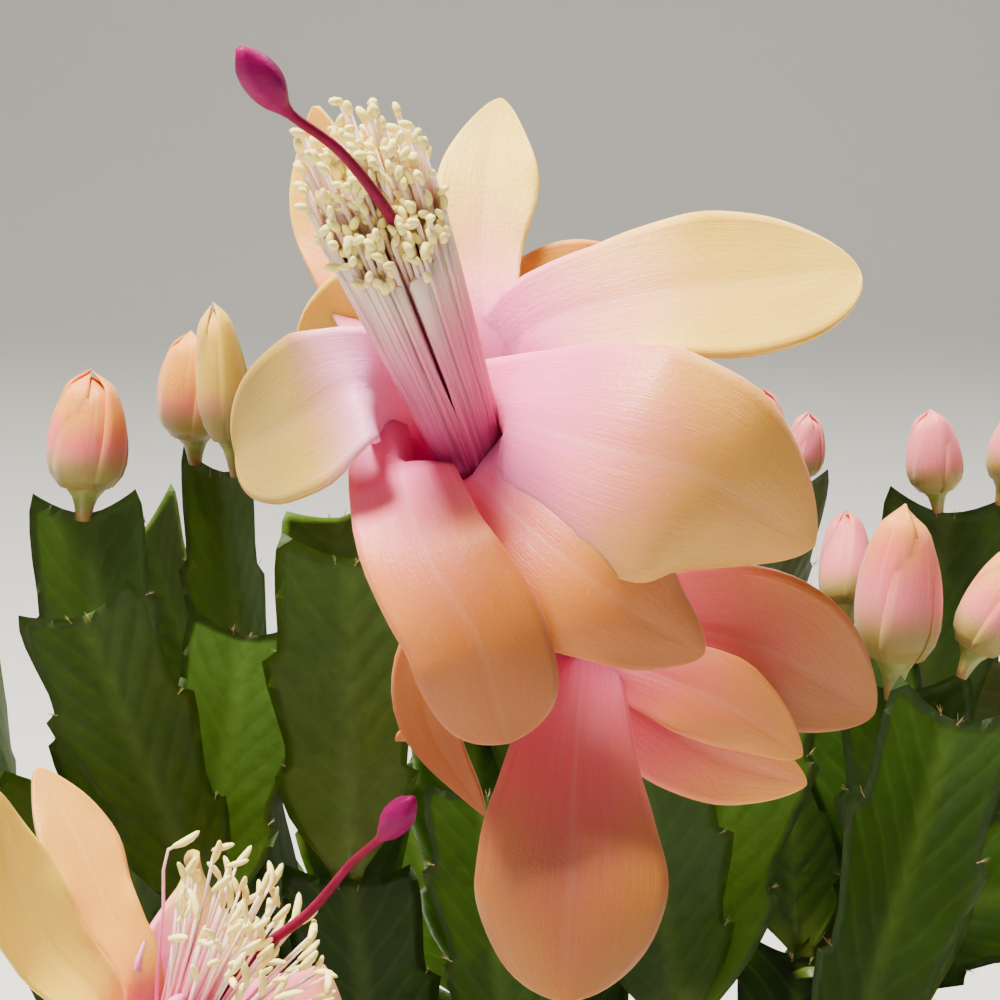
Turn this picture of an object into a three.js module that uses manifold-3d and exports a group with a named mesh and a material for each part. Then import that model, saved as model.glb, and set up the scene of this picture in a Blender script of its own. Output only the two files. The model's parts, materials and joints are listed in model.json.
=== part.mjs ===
// Potted christmas cactus in bloom.
//
// A clay pot filled with soil holds twenty leafy stems. Each stem is a chain of flat, toothed
// segments that stands in its own hole and arches over the rim. Pale orange flowers with a long
// bundle of stamens and a magenta style open at the ends of four stems, and buds sit on others.
// Sizes are in millimetres, +Z is up, and the origin is the middle of the pot's underside.

import * as THREE from 'three';
import { mergeVertices } from 'three/addons/utils/BufferGeometryUtils.js';
import Module from 'manifold-3d';

const wasm = await Module();
wasm.setup();

// Driving dimensions of the pot and its soil
const GAP = 0.3;
const POT_HEIGHT = 108;
const POT_RIM_RADIUS = 65;
const POT_RIM_DEPTH = 22;
const POT_RIM_STEP = 4.5;
const POT_FOOT_RADIUS = 43;
const POT_WALL = 5;
const POT_FLOOR = 7;
const POT_TURNS = 24;
const DRAIN_RADIUS = 4.5;
const DRAIN_RING = 20;
const DRAIN_HOLES = 4;
const SOIL_EDGE_HEIGHT = 89;
const SOIL_CROWN_HEIGHT = 94;
const SOIL_GAP = 0.45;
const STUB_RADIUS = 3.4;
const STUB_BOTTOM = 81;
const STUB_OVERLAP = 7;
const STUB_SIDES = 6;
const HOLE_RADIUS = 4.1;

// Stem segments, and the room that the filling growth keeps
const SEGMENT_LENGTH = 42;
const SEGMENT_LENGTH_SPREAD = 6;
const SEGMENT_WIDTH = 19;
const SEGMENT_WIDTH_SPREAD = 2.5;
const SEGMENT_HALF_THICKNESS = 1.5;
const PLACED_BULGE = 1.2;
const PLACED_TWIST = 0.35;
const STEM_CLEARANCE = 5.2;
const OWN_CLEARANCE = 4.16;
const JOINT_ROOM = 16;
const NEIGHBOUR_RANGE = 62;
const CANOPY_TOP = 211;
const CANOPY_REACH = 138;
const CANOPY_DROP = 45;
const LOWEST_TIP = 116;
const RIM_ROOM = 8;
const FRONT_OPENING = { halfWidth: 62, depth: -28, height: 150 };
const FILLER_SEGMENTS = 32;
const GROWTH_ROUNDS = 6;
const GROWTH_ATTEMPTS = 24;
const GROWTH_YAW = 0.9;
const GROWTH_PITCH = 22;
const FIRST_RISE = 55;
const LAST_RISE = -50;
const HIGH_JOINT = 190;

// Blooms and buds
const PETAL_THICKNESS = 0.8;
const NARROWEST_HALF = 0.5;
const TUBE_LENGTH = 42;
const THROAT_DEPTH = 7;
const LOWER_RING = 25;
const BLOOM_ROOM = 34;
const BUD_ROOM = 6.5;
const BUD_CLEARANCE = 3;
const BUD_SIDES = 5;
const SMALL_BUDS = 9;
const SEED = 20;

// Colours of the living plant
const CLAY = 0xb5643f;
const SOIL_BROWN = 0x3a2a20;
const LEAF_GREEN = 0x4c7034;
const PETAL_ORANGE = 0xe9a877;
const FILAMENT_CREAM = 0xecd3c4;
const STYLE_MAGENTA = 0xb31468;
const BUD_PINK = 0xe9a48c;

const vec = (x, y, z) => new THREE.Vector3(x, y, z);
const mix = (a, b, t) => a + (b - a) * t;

const group = new THREE.Group();

function addPart(name, geometry, color, roughness) {
  const material = new THREE.MeshStandardMaterial({ color, roughness, metalness: 0 });
  const mesh = new THREE.Mesh(geometry, material);
  mesh.name = name;
  group.add(mesh);
}

// Solids: joining and cutting

const FINE_MERGE = 1e-4;
const COARSE_MERGE = 1e-3;
const SORTING_PASSES = 3;

function toSolid(geometry, tolerance = FINE_MERGE) {
  const bare = geometry.index ? geometry.toNonIndexed() : geometry.clone();
  bare.deleteAttribute('normal');
  bare.deleteAttribute('uv');
  const merged = mergeVertices(bare, tolerance);
  const vertProperties = new Float32Array(merged.attributes.position.array);
  const triVerts = new Uint32Array(merged.index.array);
  return new wasm.Manifold(new wasm.Mesh({ numProp: 3, vertProperties, triVerts }));
}

function unite(geometries) {
  return geometries.map((geometry) => toSolid(geometry)).reduce((whole, piece) => whole.add(piece));
}

function toGeometry(solid) {
  const { vertProperties, triVerts } = solid.getMesh();
  const geometry = new THREE.BufferGeometry();
  geometry.setAttribute('position', new THREE.BufferAttribute(new Float32Array(vertProperties), 3));
  geometry.setIndex([...triVerts]);
  return geometry;
}

// The triangles of a closed mesh, sorted into skins that share no vertex.
function skinsOf(geometry) {
  const corners = geometry.index.array;
  const root = Array.from({ length: geometry.attributes.position.count }, (unused, i) => i);
  const find = (i) => {
    while (root[i] !== i) {
      root[i] = root[root[i]];
      i = root[i];
    }
    return i;
  };
  for (let t = 0; t < corners.length; t += 3) {
    root[find(corners[t + 1])] = find(corners[t]);
    root[find(corners[t + 2])] = find(corners[t]);
  }
  const skins = new Map();
  const corner = (i) => vec(0, 0, 0).fromBufferAttribute(geometry.attributes.position, i);
  for (let t = 0; t < corners.length; t += 3) {
    const [a, b, c] = [corners[t], corners[t + 1], corners[t + 2]];
    const skin = skins.get(find(a)) ?? { corners: [], volume: 0 };
    skin.corners.push(a, b, c);
    skin.volume += corner(a).dot(corner(b).cross(corner(c))) / 6;
    skins.set(find(a), skin);
  }
  return [...skins.values()];
}

// The outer skin of the largest piece, without loose scraps and sealed hollows. It is sorted again
// after vertices that all but touch are merged.
function outerBody(solid, place = new THREE.Matrix4()) {
  let geometry = toGeometry(solid).applyMatrix4(place);
  for (let pass = 0; pass < SORTING_PASSES; pass += 1) {
    const skins = skinsOf(geometry);
    const largest = skins.reduce((best, skin) => (skin.volume > best.volume ? skin : best));
    geometry.setIndex(largest.corners);
    geometry = toGeometry(toSolid(geometry, COARSE_MERGE));
  }
  return geometry;
}

// Free shapes: a loft through rings, and a sheet with two faces

// Rings are lists of points that run anticlockwise seen from the far end of the loft.
function loft(rings) {
  const count = rings[0].length;
  const points = rings.flat();
  const index = [];
  for (let k = 0; k + 1 < rings.length; k += 1) {
    for (let i = 0; i < count; i += 1) {
      const a = k * count + i;
      const b = k * count + ((i + 1) % count);
      index.push(a, b, a + count, b, b + count, a + count);
    }
  }
  const last = (rings.length - 1) * count;
  for (let i = 1; i + 1 < count; i += 1) {
    index.push(0, i + 1, i);
    index.push(last, last + i, last + i + 1);
  }
  const geometry = new THREE.BufferGeometry().setFromPoints(points);
  geometry.setIndex(index);
  return geometry;
}

// face(u, v) gives a point and its normal for u from -1 to 1 and v from 0 to 1. Both faces of the
// sheet are split into triangles along the same diagonals.
function sheet(across, along, thickness, face) {
  const front = [];
  const back = [];
  for (let j = 0; j <= along; j += 1) {
    for (let i = 0; i <= across; i += 1) {
      const { point, normal } = face(-1 + (2 * i) / across, j / along);
      front.push(point);
      back.push(point.clone().addScaledVector(normal, -thickness));
    }
  }
  const row = across + 1;
  const shift = front.length;
  const index = [];
  for (let j = 0; j < along; j += 1) {
    for (let i = 0; i < across; i += 1) {
      const a = j * row + i;
      index.push(a, a + row, a + 1, a + 1, a + row, a + row + 1);
      index.push(a + shift, a + 1 + shift, a + row + shift);
      index.push(a + 1 + shift, a + row + 1 + shift, a + row + shift);
    }
  }
  const steps = (count) => Array.from({ length: count }, (unused, i) => i);
  const rim = [
    ...steps(across),
    ...steps(along).map((j) => j * row + across),
    ...steps(across).map((i) => along * row + across - i),
    ...steps(along).map((j) => (along - j) * row),
  ];
  rim.forEach((a, i) => {
    const b = rim[(i + 1) % rim.length];
    index.push(a, b, a + shift, b, b + shift, a + shift);
  });
  const geometry = new THREE.BufferGeometry().setFromPoints([...front, ...back]);
  geometry.setIndex(index);
  return geometry;
}

// A smooth line through evenly timed points.
function through(points, v) {
  const last = points.length - 1;
  const i = Math.min(Math.floor(v * last), last - 1);
  const f = v * last - i;
  const b = points[i];
  const c = points[i + 1];
  const a = i > 0 ? points[i - 1] : b.clone().multiplyScalar(2).sub(c);
  const d = i + 2 <= last ? points[i + 2] : c.clone().multiplyScalar(2).sub(b);
  const blend = (p, q, r, s) => {
    const square = 2 * p - 5 * q + 4 * r - s;
    const cube = 3 * q - p - 3 * r + s;
    return 0.5 * (2 * q + (r - p) * f + square * f * f + cube * f * f * f);
  };
  return vec(blend(a.x, b.x, c.x, d.x), blend(a.y, b.y, c.y, d.y), blend(a.z, b.z, c.z, d.z));
}

// The way that such a line runs at v.
function heading(points, v) {
  const ahead = through(points, Math.min(v + 0.01, 1));
  return ahead.sub(through(points, Math.max(v - 0.01, 0))).normalize();
}

// The point at an angle on a circle whose axes are x and y.
function onCircle(centre, x, y, radius, angle) {
  const point = centre.clone().addScaledVector(x, radius * Math.cos(angle));
  return point.addScaledVector(y, radius * Math.sin(angle));
}

const numberThrough = (values, v) => through(values.map((value) => vec(value, 0, 0)), v).x;

// A round rod along a smooth line, with its radius given at evenly spaced stations.
function rod(line, radii, sides, steps, hint) {
  const rings = [];
  for (let k = 0; k <= steps; k += 1) {
    const v = k / steps;
    const centre = through(line, v);
    const tangent = heading(line, v);
    const x = hint.clone().cross(tangent).normalize();
    const y = tangent.clone().cross(x);
    const radius = numberThrough(radii, v);
    const ring = [];
    for (let i = 0; i < sides; i += 1) {
      ring.push(onCircle(centre, x, y, radius, (2 * Math.PI * i) / sides));
    }
    rings.push(ring);
  }
  return loft(rings);
}

// Repeatable random numbers from 0 to 1

let state = SEED;

function draw() {
  state = (state * 1664525 + 1013904223) % 4294967296;
  return state / 4294967296;
}

const spreadDraw = (amount) => (draw() * 2 - 1) * amount;

// Stems
//
// A segment runs from one joint to the next. Its face looks along `face`, it bows by `bulge`
// millimetres and turns by `twist` radians. Its samples stand for it where room is looked for.

const SAMPLE_ROWS = 6;
const SAMPLE_REACH = 0.85;

function makeSegment(stem, parent, from, to, facing, width, bulge, twist) {
  const direction = to.clone().sub(from).normalize();
  const side = direction.clone().cross(facing).normalize();
  const face = side.clone().cross(direction);
  const samples = [];
  const middle = from.clone().add(to).multiplyScalar(0.5);
  const segment = { stem, parent, from, to, middle, direction, side, face, width, bulge, twist, samples };
  for (let j = 0; j <= SAMPLE_ROWS; j += 1) {
    for (let i = -2; i <= 2; i += 1) {
      samples.push(segmentPoint(segment, j / SAMPLE_ROWS, (i / 2) * SAMPLE_REACH, 0));
    }
  }
  return segment;
}

// The point at v along the segment, u across it and w off its middle plane, in millimetres.
function segmentPoint(s, v, u, w) {
  const turn = s.twist * (v - 0.5);
  const side = s.side.clone().multiplyScalar(Math.cos(turn)).addScaledVector(s.face, Math.sin(turn));
  const face = s.face.clone().multiplyScalar(Math.cos(turn)).addScaledVector(s.side, -Math.sin(turn));
  return s.from.clone().lerp(s.to, v)
    .addScaledVector(s.face, s.bulge * 4 * v * (1 - v))
    .addScaledVector(side, (u * s.width) / 2)
    .addScaledVector(face, w);
}

// Outline of a segment from its base: place on the midrib, place on the edge and half width.
// The edge steps out to two teeth on each side and ends in two horns.
const OUTLINE = [
  [0.03, 0.03, 0.24],
  [0.27, 0.32, 0.84],
  [0.37, 0.37, 0.70],
  [0.62, 0.67, 1.0],
  [0.72, 0.72, 0.84],
  [0.95, 1.0, 0.78],
];
const SUNKEN_ROOT = [-0.05, -0.05, 0.24];

function segmentRings(s, sunken) {
  const outline = sunken ? [SUNKEN_ROOT, ...OUTLINE.slice(1)] : OUTLINE;
  return outline.map(([mid, edge, half]) => {
    const thick = SEGMENT_HALF_THICKNESS * mix(1.2, 0.75, Math.max(mid, 0));
    return [
      segmentPoint(s, mid, 0, -thick),
      segmentPoint(s, edge, -half, 0),
      segmentPoint(s, mid, 0, thick),
      segmentPoint(s, edge, half, 0),
    ];
  });
}

// A segment that carries on nearly straight from its parent is one skin with it.
function follows(child, parent) {
  const yaw = Math.abs(child.direction.dot(parent.side));
  const straight = child.direction.dot(parent.direction) > 0.4;
  return yaw < 0.5 && straight && child.side.dot(parent.side) > 0.6;
}

function chainShapes(all) {
  return all.filter((segment) => !segment.continues).map((first) => {
    const rings = segmentRings(first, true);
    let segment = first.next;
    while (segment) {
      rings.push(...segmentRings(segment, false));
      segment = segment.next;
    }
    return loft(rings);
  });
}

// Stems that are placed by eye: the joints of each, from the soil to the tip, and its width.
// A branch starts from the numbered joint and ends at the given point.
const PLACED = [
  {
    name: 'front',
    width: 15,
    joints: [[15, -24, 96], [18, -34, 136], [18, -46, 168], [12.4, -55.3, 198.8]],
    branch: [2, [27, -33, 204]],
  },
  {
    name: 'front_left',
    width: 16,
    joints: [[-29, -22, 94], [-42, -36, 116], [-47, -51, 139]],
  },
  {
    name: 'left_tall',
    width: 15,
    joints: [[-30, -2, 96], [-36, -8, 135], [-42, -13, 174], [-45, -11, 213]],
  },
  {
    name: 'left_inner',
    width: 13,
    joints: [[-13, 10, 97], [-21, 6, 138], [-28, 1, 177], [-31.5, -4, 216]],
  },
  {
    name: 'left_outer',
    width: 18,
    joints: [[-42, 14, 95], [-52, 8, 134], [-57, -1, 172], [-55, -12, 211]],
  },
  {
    name: 'left_low',
    width: 15,
    joints: [[-17, -34, 95], [-27, -32, 133], [-31, -25, 171], [-27, -18, 201]],
    branch: [2, [-43, -30, 206]],
  },
  {
    name: 'middle_left',
    width: 17,
    joints: [[-8, -10, 98], [-13, -17, 137], [-16, -26, 176], [-15, -34, 213]],
  },
  {
    name: 'middle',
    width: 13,
    joints: [[-2, -44, 94], [2, -52, 131], [1, -50, 166], [-2, -45, 192]],
  },
  {
    name: 'right_tall',
    width: 16,
    joints: [[30, 0, 96], [36, -5, 136], [45.5, -9, 173], [48.5, -11, 213]],
  },
  {
    name: 'right_inner',
    width: 16,
    joints: [[12, 12, 97], [20, 8, 137], [28, 6, 176], [34, 4, 212]],
  },
  {
    name: 'right_low',
    width: 15,
    joints: [[38, -22, 95], [44, -29, 130], [42, -38, 166], [39.5, -39, 201]],
    branch: [2, [36, -22, 203]],
    branchBud: { length: 11, radius: 2.7, lean: [0.15, 0, 0] },
  },
  {
    name: 'right_front',
    width: 14,
    joints: [[27, -38, 93], [32, -49, 130], [31, -61, 165], [42, -53, 203]],
  },
  {
    name: 'left_side',
    width: 19,
    joints: [[-40, -9, 95], [-63, -13, 131], [-90, -15, 158]],
  },
  {
    name: 'right_side',
    width: 20,
    joints: [[46, 8, 95], [68, 12, 130], [93, 13, 156]],
  },
  {
    name: 'back',
    width: 20,
    joints: [[6, 44, 95], [10, 66, 130], [14, 90, 158]],
  },
  {
    name: 'back_left',
    width: 20,
    joints: [[-26, 32, 96], [-42, 50, 133], [-56, 66, 169]],
  },
  {
    name: 'back_right',
    width: 20,
    joints: [[30, 34, 96], [46, 48, 134], [58, 66, 168]],
  },
  {
    name: 'inner_left',
    width: 19,
    joints: [[-26, 12, 96], [-30, 16, 136], [-34, 17, 175], [-43, 12, 206]],
  },
  {
    name: 'inner_right',
    width: 19,
    joints: [[10, -4, 98], [9, -6, 137], [6, -8, 175], [8, -10, 207]],
  },
  {
    name: 'back_middle',
    width: 19,
    joints: [[0, 26, 98], [-2, 32, 138], [-4, 36, 178], [-8, 38, 211]],
  },
  {
    name: 'right_middle',
    width: 16,
    joints: [[26, -14, 96], [31, -19, 133], [33, -20, 165], [30, -17, 193]],
  },
  {
    name: 'back_inner',
    width: 17,
    joints: [[-14, 20, 97], [-17, 24, 137], [-19, 24, 177], [-20, 22, 205]],
  },
];

const segments = [];

// A segment is joined to the tip of its parent, in one skin where it carries straight on.
function attach(segment) {
  const { parent } = segment;
  if (parent && !parent.next && segment.from.distanceTo(parent.to) < 1 && follows(segment, parent)) {
    parent.next = segment;
    segment.continues = true;
  }
  if (parent) {
    parent.children = (parent.children ?? 0) + 1;
  }
  segments.push(segment);
  return segment;
}

// Stems at the front turn their flat side to the front, and the rest turn it outward. Each limit
// gives the place where that begins and the width over which it fades in.
const FRONT = vec(0, -1, 0.25);
const FACING_SIDE = { limit: 62, fade: 14 };
const FACING_DEPTH = { limit: 20, fade: 35 };

function faceFor(from, to) {
  const middle = from.clone().add(to).multiplyScalar(0.5);
  const fadeIn = (place, { limit, fade }) => THREE.MathUtils.clamp((limit - place) / fade, 0, 1);
  const near = fadeIn(Math.abs(middle.x), FACING_SIDE) * fadeIn(middle.y, FACING_DEPTH);
  const facing = vec(middle.x, middle.y, 0).normalize().multiplyScalar(1 - near);
  return facing.addScaledVector(FRONT, near).add(vec(0, 0, 0.3));
}

PLACED.forEach((placed, stem) => {
  const joints = placed.joints.map((joint) => vec(...joint));
  const chain = [];
  const add = (parent, from, to) => {
    const facing = faceFor(from, to);
    return attach(makeSegment(stem, parent, from, to, facing, placed.width, PLACED_BULGE, PLACED_TWIST));
  };
  for (let i = 0; i + 1 < joints.length; i += 1) {
    chain.push(add(chain[i - 1], joints[i], joints[i + 1]));
  }
  chain.at(-1).last = true;
  if (placed.branch) {
    const [joint, tip] = placed.branch;
    placed.offshoot = add(chain[joint - 1], joints[joint], vec(...tip));
  }
});

// Blooms
//
// A bloom is drawn as it looks from the front of the plant: x to the right, y up, z toward the
// onlooker, from the middle of its throat. Its tube runs back from the throat along BLOOM_AXIS.
const BLOOM_AXIS = vec(-0.393, 0.697, 0.6).normalize();
const BLOOM_UPPER = vec(0, 0, -1).addScaledVector(BLOOM_AXIS, BLOOM_AXIS.z).normalize();
const ONLOOKER = vec(0, 0, 1);
const THROAT_FLOOR = BLOOM_AXIS.clone().multiplyScalar(-THROAT_DEPTH);

// Petals: points along the middle, half widths at those points, how blunt the tip is, and the
// angle by which the edges lift toward the onlooker. `extra` petals stay off the small blooms.
const UPPER_PETALS = [
  {
    name: 'top',
    path: [[3, 8, -4], [2.5, 15, -7], [3, 22, -10], [4, 29, -14]],
    half: [2.6, 3.4, 5.4, 4.2],
    tip: 3,
    cup: 12,
  },
  {
    name: 'top_left',
    path: [[-4, 6, -5], [-5.5, 13, -9], [-7.5, 20.5, -11], [-11, 27.5, -11]],
    half: [3.2, 4, 5, 2.6],
    tip: 3,
    cup: 12,
  },
  {
    name: 'left_back',
    path: [[-2, 6.5, -4], [-5.5, 8.5, -5], [-8.5, 4.5, -8], [-11.5, -2, -11]],
    half: [3, 4, 4.6, 3.6],
    tip: 3,
    cup: 10,
    extra: true,
  },
  {
    name: 'left',
    path: [[-2.5, 0.4, -3], [-6, 0.9, 5], [-11, 0, 2], [-18.5, -2, -9]],
    half: [3.4, 5.6, 6.6, 5.4],
    tip: 12,
    cup: 20,
  },
  {
    name: 'bottom_left',
    path: [[-4.2, -2.5, 1], [-2, -9.5, 10], [2.2, -16.5, 12], [4.6, -24.6, 9]],
    half: [4, 5.2, 5.6, 5.4],
    tip: 14,
    cup: -20,
  },
  {
    name: 'bottom_right',
    path: [[1.8, -3.8, 2], [7.2, -9, 9], [13, -13.5, 10], [20, -18, 5]],
    half: [5, 7.2, 6.4, 4.2],
    tip: 5,
    cup: -15,
  },
  {
    name: 'right_front',
    path: [[4, 0.5, 2], [12, -2, 11], [20.5, -4.5, 11], [29, -9.5, 3]],
    half: [5.6, 9.4, 9.8, 7.8],
    tip: 4,
    cup: -25,
  },
  {
    name: 'right',
    path: [[5.5, 7.5, -3], [14.5, 10.6, -1], [24, 12, -3], [34.3, 13.8, -9]],
    half: [4, 5.8, 7.4, 7.2],
    tip: 5,
    cup: 10,
  },
  {
    name: 'right_back',
    path: [[4, 8, -6], [8, 11.6, -9], [12.5, 13.1, -12], [18, 12.6, -15]],
    half: [3, 4, 4.2, 3],
    tip: 3,
    cup: 8,
    extra: true,
  },
];
const LOWER_PETALS = [
  {
    name: 'low_bottom',
    path: [[11, -19, -10], [10, -27.5, 0], [9.5, -36, 5], [9, -45.4, 5]],
    half: [2.8, 6.2, 8.4, 8.2],
    tip: 7,
    cup: -30,
  },
  {
    name: 'low_right_front',
    path: [[12, -19, -10], [17, -20.5, -7], [23, -23, -6], [29.5, -27.5, -9]],
    half: [2.5, 3.4, 4.4, 3.4],
    tip: 4,
    cup: -10,
    extra: true,
  },
  {
    name: 'low_right',
    path: [[12, -18, -13], [20.5, -17, -9], [28.5, -19.5, -9], [36.5, -24.5, -15]],
    half: [2.5, 6, 8.2, 7.5],
    tip: 3,
    cup: 8,
  },
  {
    name: 'low_right_under',
    path: [[12, -20.5, -13], [17.5, -24.5, -11], [23.5, -28, -11], [30.5, -30.5, -14]],
    half: [2.5, 5, 4.8, 3.4],
    tip: 4,
    cup: -8,
    extra: true,
  },
  {
    name: 'low_left',
    path: [[8.5, -18, -12], [0.5, -16.5, -14], [-2.5, -24.5, -16], [2.5, -33.5, -17]],
    half: [2.5, 3.4, 3.2, 1.6],
    tip: 4,
    cup: 10,
  },
  {
    name: 'low_left_back',
    path: [[8, -18.5, -15], [2.5, -22.5, -17], [-2, -25.5, -19], [-5.5, -27.5, -22]],
    half: [2, 3, 2.4, 1.2],
    tip: 3,
    cup: 5,
    extra: true,
  },
  {
    name: 'low_back',
    path: [[12, -16, -18], [17, -11.5, -24], [22, -8, -30], [27, -6, -36]],
    half: [2.5, 5, 5.5, 4],
    tip: 3,
    cup: 8,
  },
  {
    name: 'low_back_left',
    path: [[9.5, -15.5, -18], [6, -11.5, -26], [4, -6, -34], [3, 0, -40]],
    half: [2.5, 4.5, 5, 3.5],
    tip: 3,
    cup: 8,
    extra: true,
  },
];

// A petal springs from the wall of the tube at `height` along the axis, `radius` off it.
const UPPER_TIER = { height: -2, radius: 5.2, rootHalf: 1.8 };
const LOWER_TIER = { height: -LOWER_RING, radius: 2.6, rootHalf: 1.2 };

function petalFace(petal, height, radius, rootHalf) {
  const path = petal.path.map((point) => vec(...point));
  const centre = BLOOM_AXIS.clone().multiplyScalar(height);
  const away = path[0].clone().sub(centre);
  away.addScaledVector(BLOOM_AXIS, -away.dot(BLOOM_AXIS)).normalize();
  const line = [centre.clone().addScaledVector(away, radius), ...path];
  const half = [rootHalf, ...petal.half];
  const around = BLOOM_AXIS.clone().cross(away);
  return (u, v) => {
    const point = through(line, v);
    const tangent = heading(line, v);
    const seen = ONLOOKER.clone().cross(tangent).normalize();
    const side = around.clone().lerp(seen, Math.min(v * 2.5, 1));
    side.addScaledVector(tangent, -side.dot(tangent)).normalize();
    const normal = tangent.clone().cross(side);
    const narrowing = Math.sqrt(Math.max(1 - v ** (petal.tip * 1.3), 0));
    const width = Math.max(numberThrough(half, v) * narrowing, NARROWEST_HALF);
    const bend = THREE.MathUtils.degToRad(petal.cup) * Math.min(v * 2, 1) + 1e-4;
    const [cosine, sine] = [Math.cos(bend * u), Math.sin(bend * u)];
    point.addScaledVector(side, (width * sine) / bend);
    point.addScaledVector(normal, (width * (1 - cosine)) / bend);
    return { point, normal: normal.multiplyScalar(cosine).addScaledVector(side, -sine) };
  };
}

function petalShape(petal, tier, across, along) {
  return sheet(across, along, PETAL_THICKNESS, petalFace(petal, tier.height, tier.radius, tier.rootHalf));
}

// Height and radius along the flower's tube, from the seed pod at its base to the open throat, and
// radius and height of the hollow of the throat, which is cut a little past the rim.
const TUBE_PROFILE = [[0, 0.9], [4, 3], [8, 2.9], [11, 2.2], [17, 3.8], [30, 4], [TUBE_LENGTH, 6.4]];
const THROAT_PROFILE = [[0, 0], [4.4, 0], [5.6, THROAT_DEPTH + 0.5], [0, THROAT_DEPTH + 0.5]];

function alongAxis(geometry, start) {
  const turn = new THREE.Quaternion().setFromUnitVectors(vec(0, 1, 0), BLOOM_AXIS);
  const move = BLOOM_AXIS.clone().multiplyScalar(start);
  return geometry.applyQuaternion(turn).translate(move.x, move.y, move.z);
}

function tubeShape(sides) {
  const profile = TUBE_PROFILE.map(([height, radius]) => new THREE.Vector2(radius, height));
  const points = [new THREE.Vector2(0, 0), ...profile, new THREE.Vector2(0, TUBE_LENGTH)];
  return alongAxis(new THREE.LatheGeometry(points, sides), -TUBE_LENGTH);
}

function throatCut(sides) {
  const points = THROAT_PROFILE.map(([radius, height]) => new THREE.Vector2(radius, height));
  return alongAxis(new THREE.LatheGeometry(points, sides), -THROAT_DEPTH);
}

// The stamens stand in a bundle that opens like a funnel. It is slit on the near side, where the
// style shows, and its rim carries the pollen-bearing anthers.
const CLOSED_BUNDLE = { end: vec(-5.5, 18.5, 16), radii: [2.7, 3.9, 4.6, 5], anther: 4.7, room: 6.2 };
const OPEN_BUNDLE = { end: vec(-3.2, 12, 10.4), radii: [2.7, 4, 6, 8.8], anther: 8.4, room: 9.4 };
const BUNDLE_WALL = 0.9;
const BUNDLE_SLIT = 0.55;
const BUNDLE_SLANT = 0.16;
const FLUTE_DEPTH = 0.35;

function bundleFrame(bundle) {
  const start = THROAT_FLOOR.clone().addScaledVector(BLOOM_AXIS, GAP);
  const direction = bundle.end.clone().sub(start).normalize();
  const side = direction.clone().cross(ONLOOKER).normalize();
  const near = side.clone().cross(direction);
  return { start, direction, side, near };
}

function bundlePoint(bundle, angle, v, radius) {
  const { start, side, near } = bundleFrame(bundle);
  const slant = 1 - BUNDLE_SLANT * Math.max(Math.cos(angle), 0) * v * v;
  const centre = start.clone().lerp(bundle.end, v * slant);
  const normal = onCircle(vec(0, 0, 0), near, side, 1, angle);
  return { point: centre.addScaledVector(normal, radius), normal };
}

function bundleShape(bundle, flutes, along) {
  return sheet(flutes * 2, along, BUNDLE_WALL, (u, v) => {
    const angle = Math.PI - u * (Math.PI - BUNDLE_SLIT);
    const flute = Math.cos(u * flutes * Math.PI) * FLUTE_DEPTH * v;
    return bundlePoint(bundle, angle, v, numberThrough(bundle.radii, v) + flute);
  });
}

// The room that the bundle takes among the petals, a little longer and wider than the bundle.
function bundleRoom(bundle, sides) {
  const { start, near } = bundleFrame(bundle);
  const far = bundle.end.clone().sub(start).multiplyScalar(1.14).add(start);
  const from = start.clone().addScaledVector(BLOOM_AXIS, -GAP);
  const radii = [...bundle.radii, bundle.room].map((radius) => radius + 0.4 + GAP);
  return rod([from, from.clone().lerp(far, 0.5), far], radii, sides, 2, near);
}

const ANTHER_RADIUS = 1.15;
const ANTHER_STRETCH = 1.5;

function antherShapes(bundle, count) {
  const { direction } = bundleFrame(bundle);
  const anthers = [];
  for (let i = 0; i < count; i += 1) {
    const angle = BUNDLE_SLIT + ((i + 0.5) / count) * 2 * (Math.PI - BUNDLE_SLIT);
    const { point } = bundlePoint(bundle, angle, 1, bundle.anther + spreadDraw(0.4));
    const anther = new THREE.OctahedronGeometry(ANTHER_RADIUS).scale(1, 1, ANTHER_STRETCH);
    anther.applyQuaternion(new THREE.Quaternion().setFromUnitVectors(vec(0, 0, 1), direction));
    const at = point.addScaledVector(direction, mix(-0.4, 0.5, draw()));
    anthers.push(anther.translate(at.x, at.y, at.z));
  }
  return anthers;
}

// The style leaves the throat inside the bundle, passes the slit and ends in a club.
const STYLE_LINE = [
  THROAT_FLOOR.clone().addScaledVector(BLOOM_AXIS, GAP),
  vec(-0.5, 8.5, 7),
  vec(-3.6, 14.3, 15.5),
  vec(-7.3, 19, 21),
  vec(-11, 21.5, 25),
  vec(-12.6, 23.4, 27.2),
  vec(-14, 25.2, 29.2),
];
const STYLE_RADII = [0.8, 0.6, 0.6, 0.6, 0.8, 1.6, 0.6];

function styleSolid(sides, steps, grow) {
  const radii = STYLE_RADII.map((radius) => radius + grow);
  return toSolid(rod(STYLE_LINE, radii, sides, steps, vec(1, 0, 0)));
}

function makeBloom({ petals, across, along, tubeSides, bundle, flutes, anthers, styleSteps }) {
  const wanted = (petal) => petals === 'all' || !petal.extra;
  const tier = (list, place) => list.filter(wanted).map((petal) => petalShape(petal, place, across, along));
  const leaves = [...tier(UPPER_PETALS, UPPER_TIER), ...tier(LOWER_PETALS, LOWER_TIER)];
  const flesh = unite([tubeShape(tubeSides), ...leaves]);
  const stamens = unite([bundleShape(bundle, flutes, 3), ...antherShapes(bundle, anthers)]);
  const hollows = [throatCut(tubeSides), bundleRoom(bundle, tubeSides)];
  return {
    petals: hollows.reduce((left, hollow) => left.subtract(toSolid(hollow)), flesh),
    stamens: stamens.subtract(styleSolid(5, 5, GAP + 0.1)),
    style: styleSolid(6, styleSteps, 0),
  };
}

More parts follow.
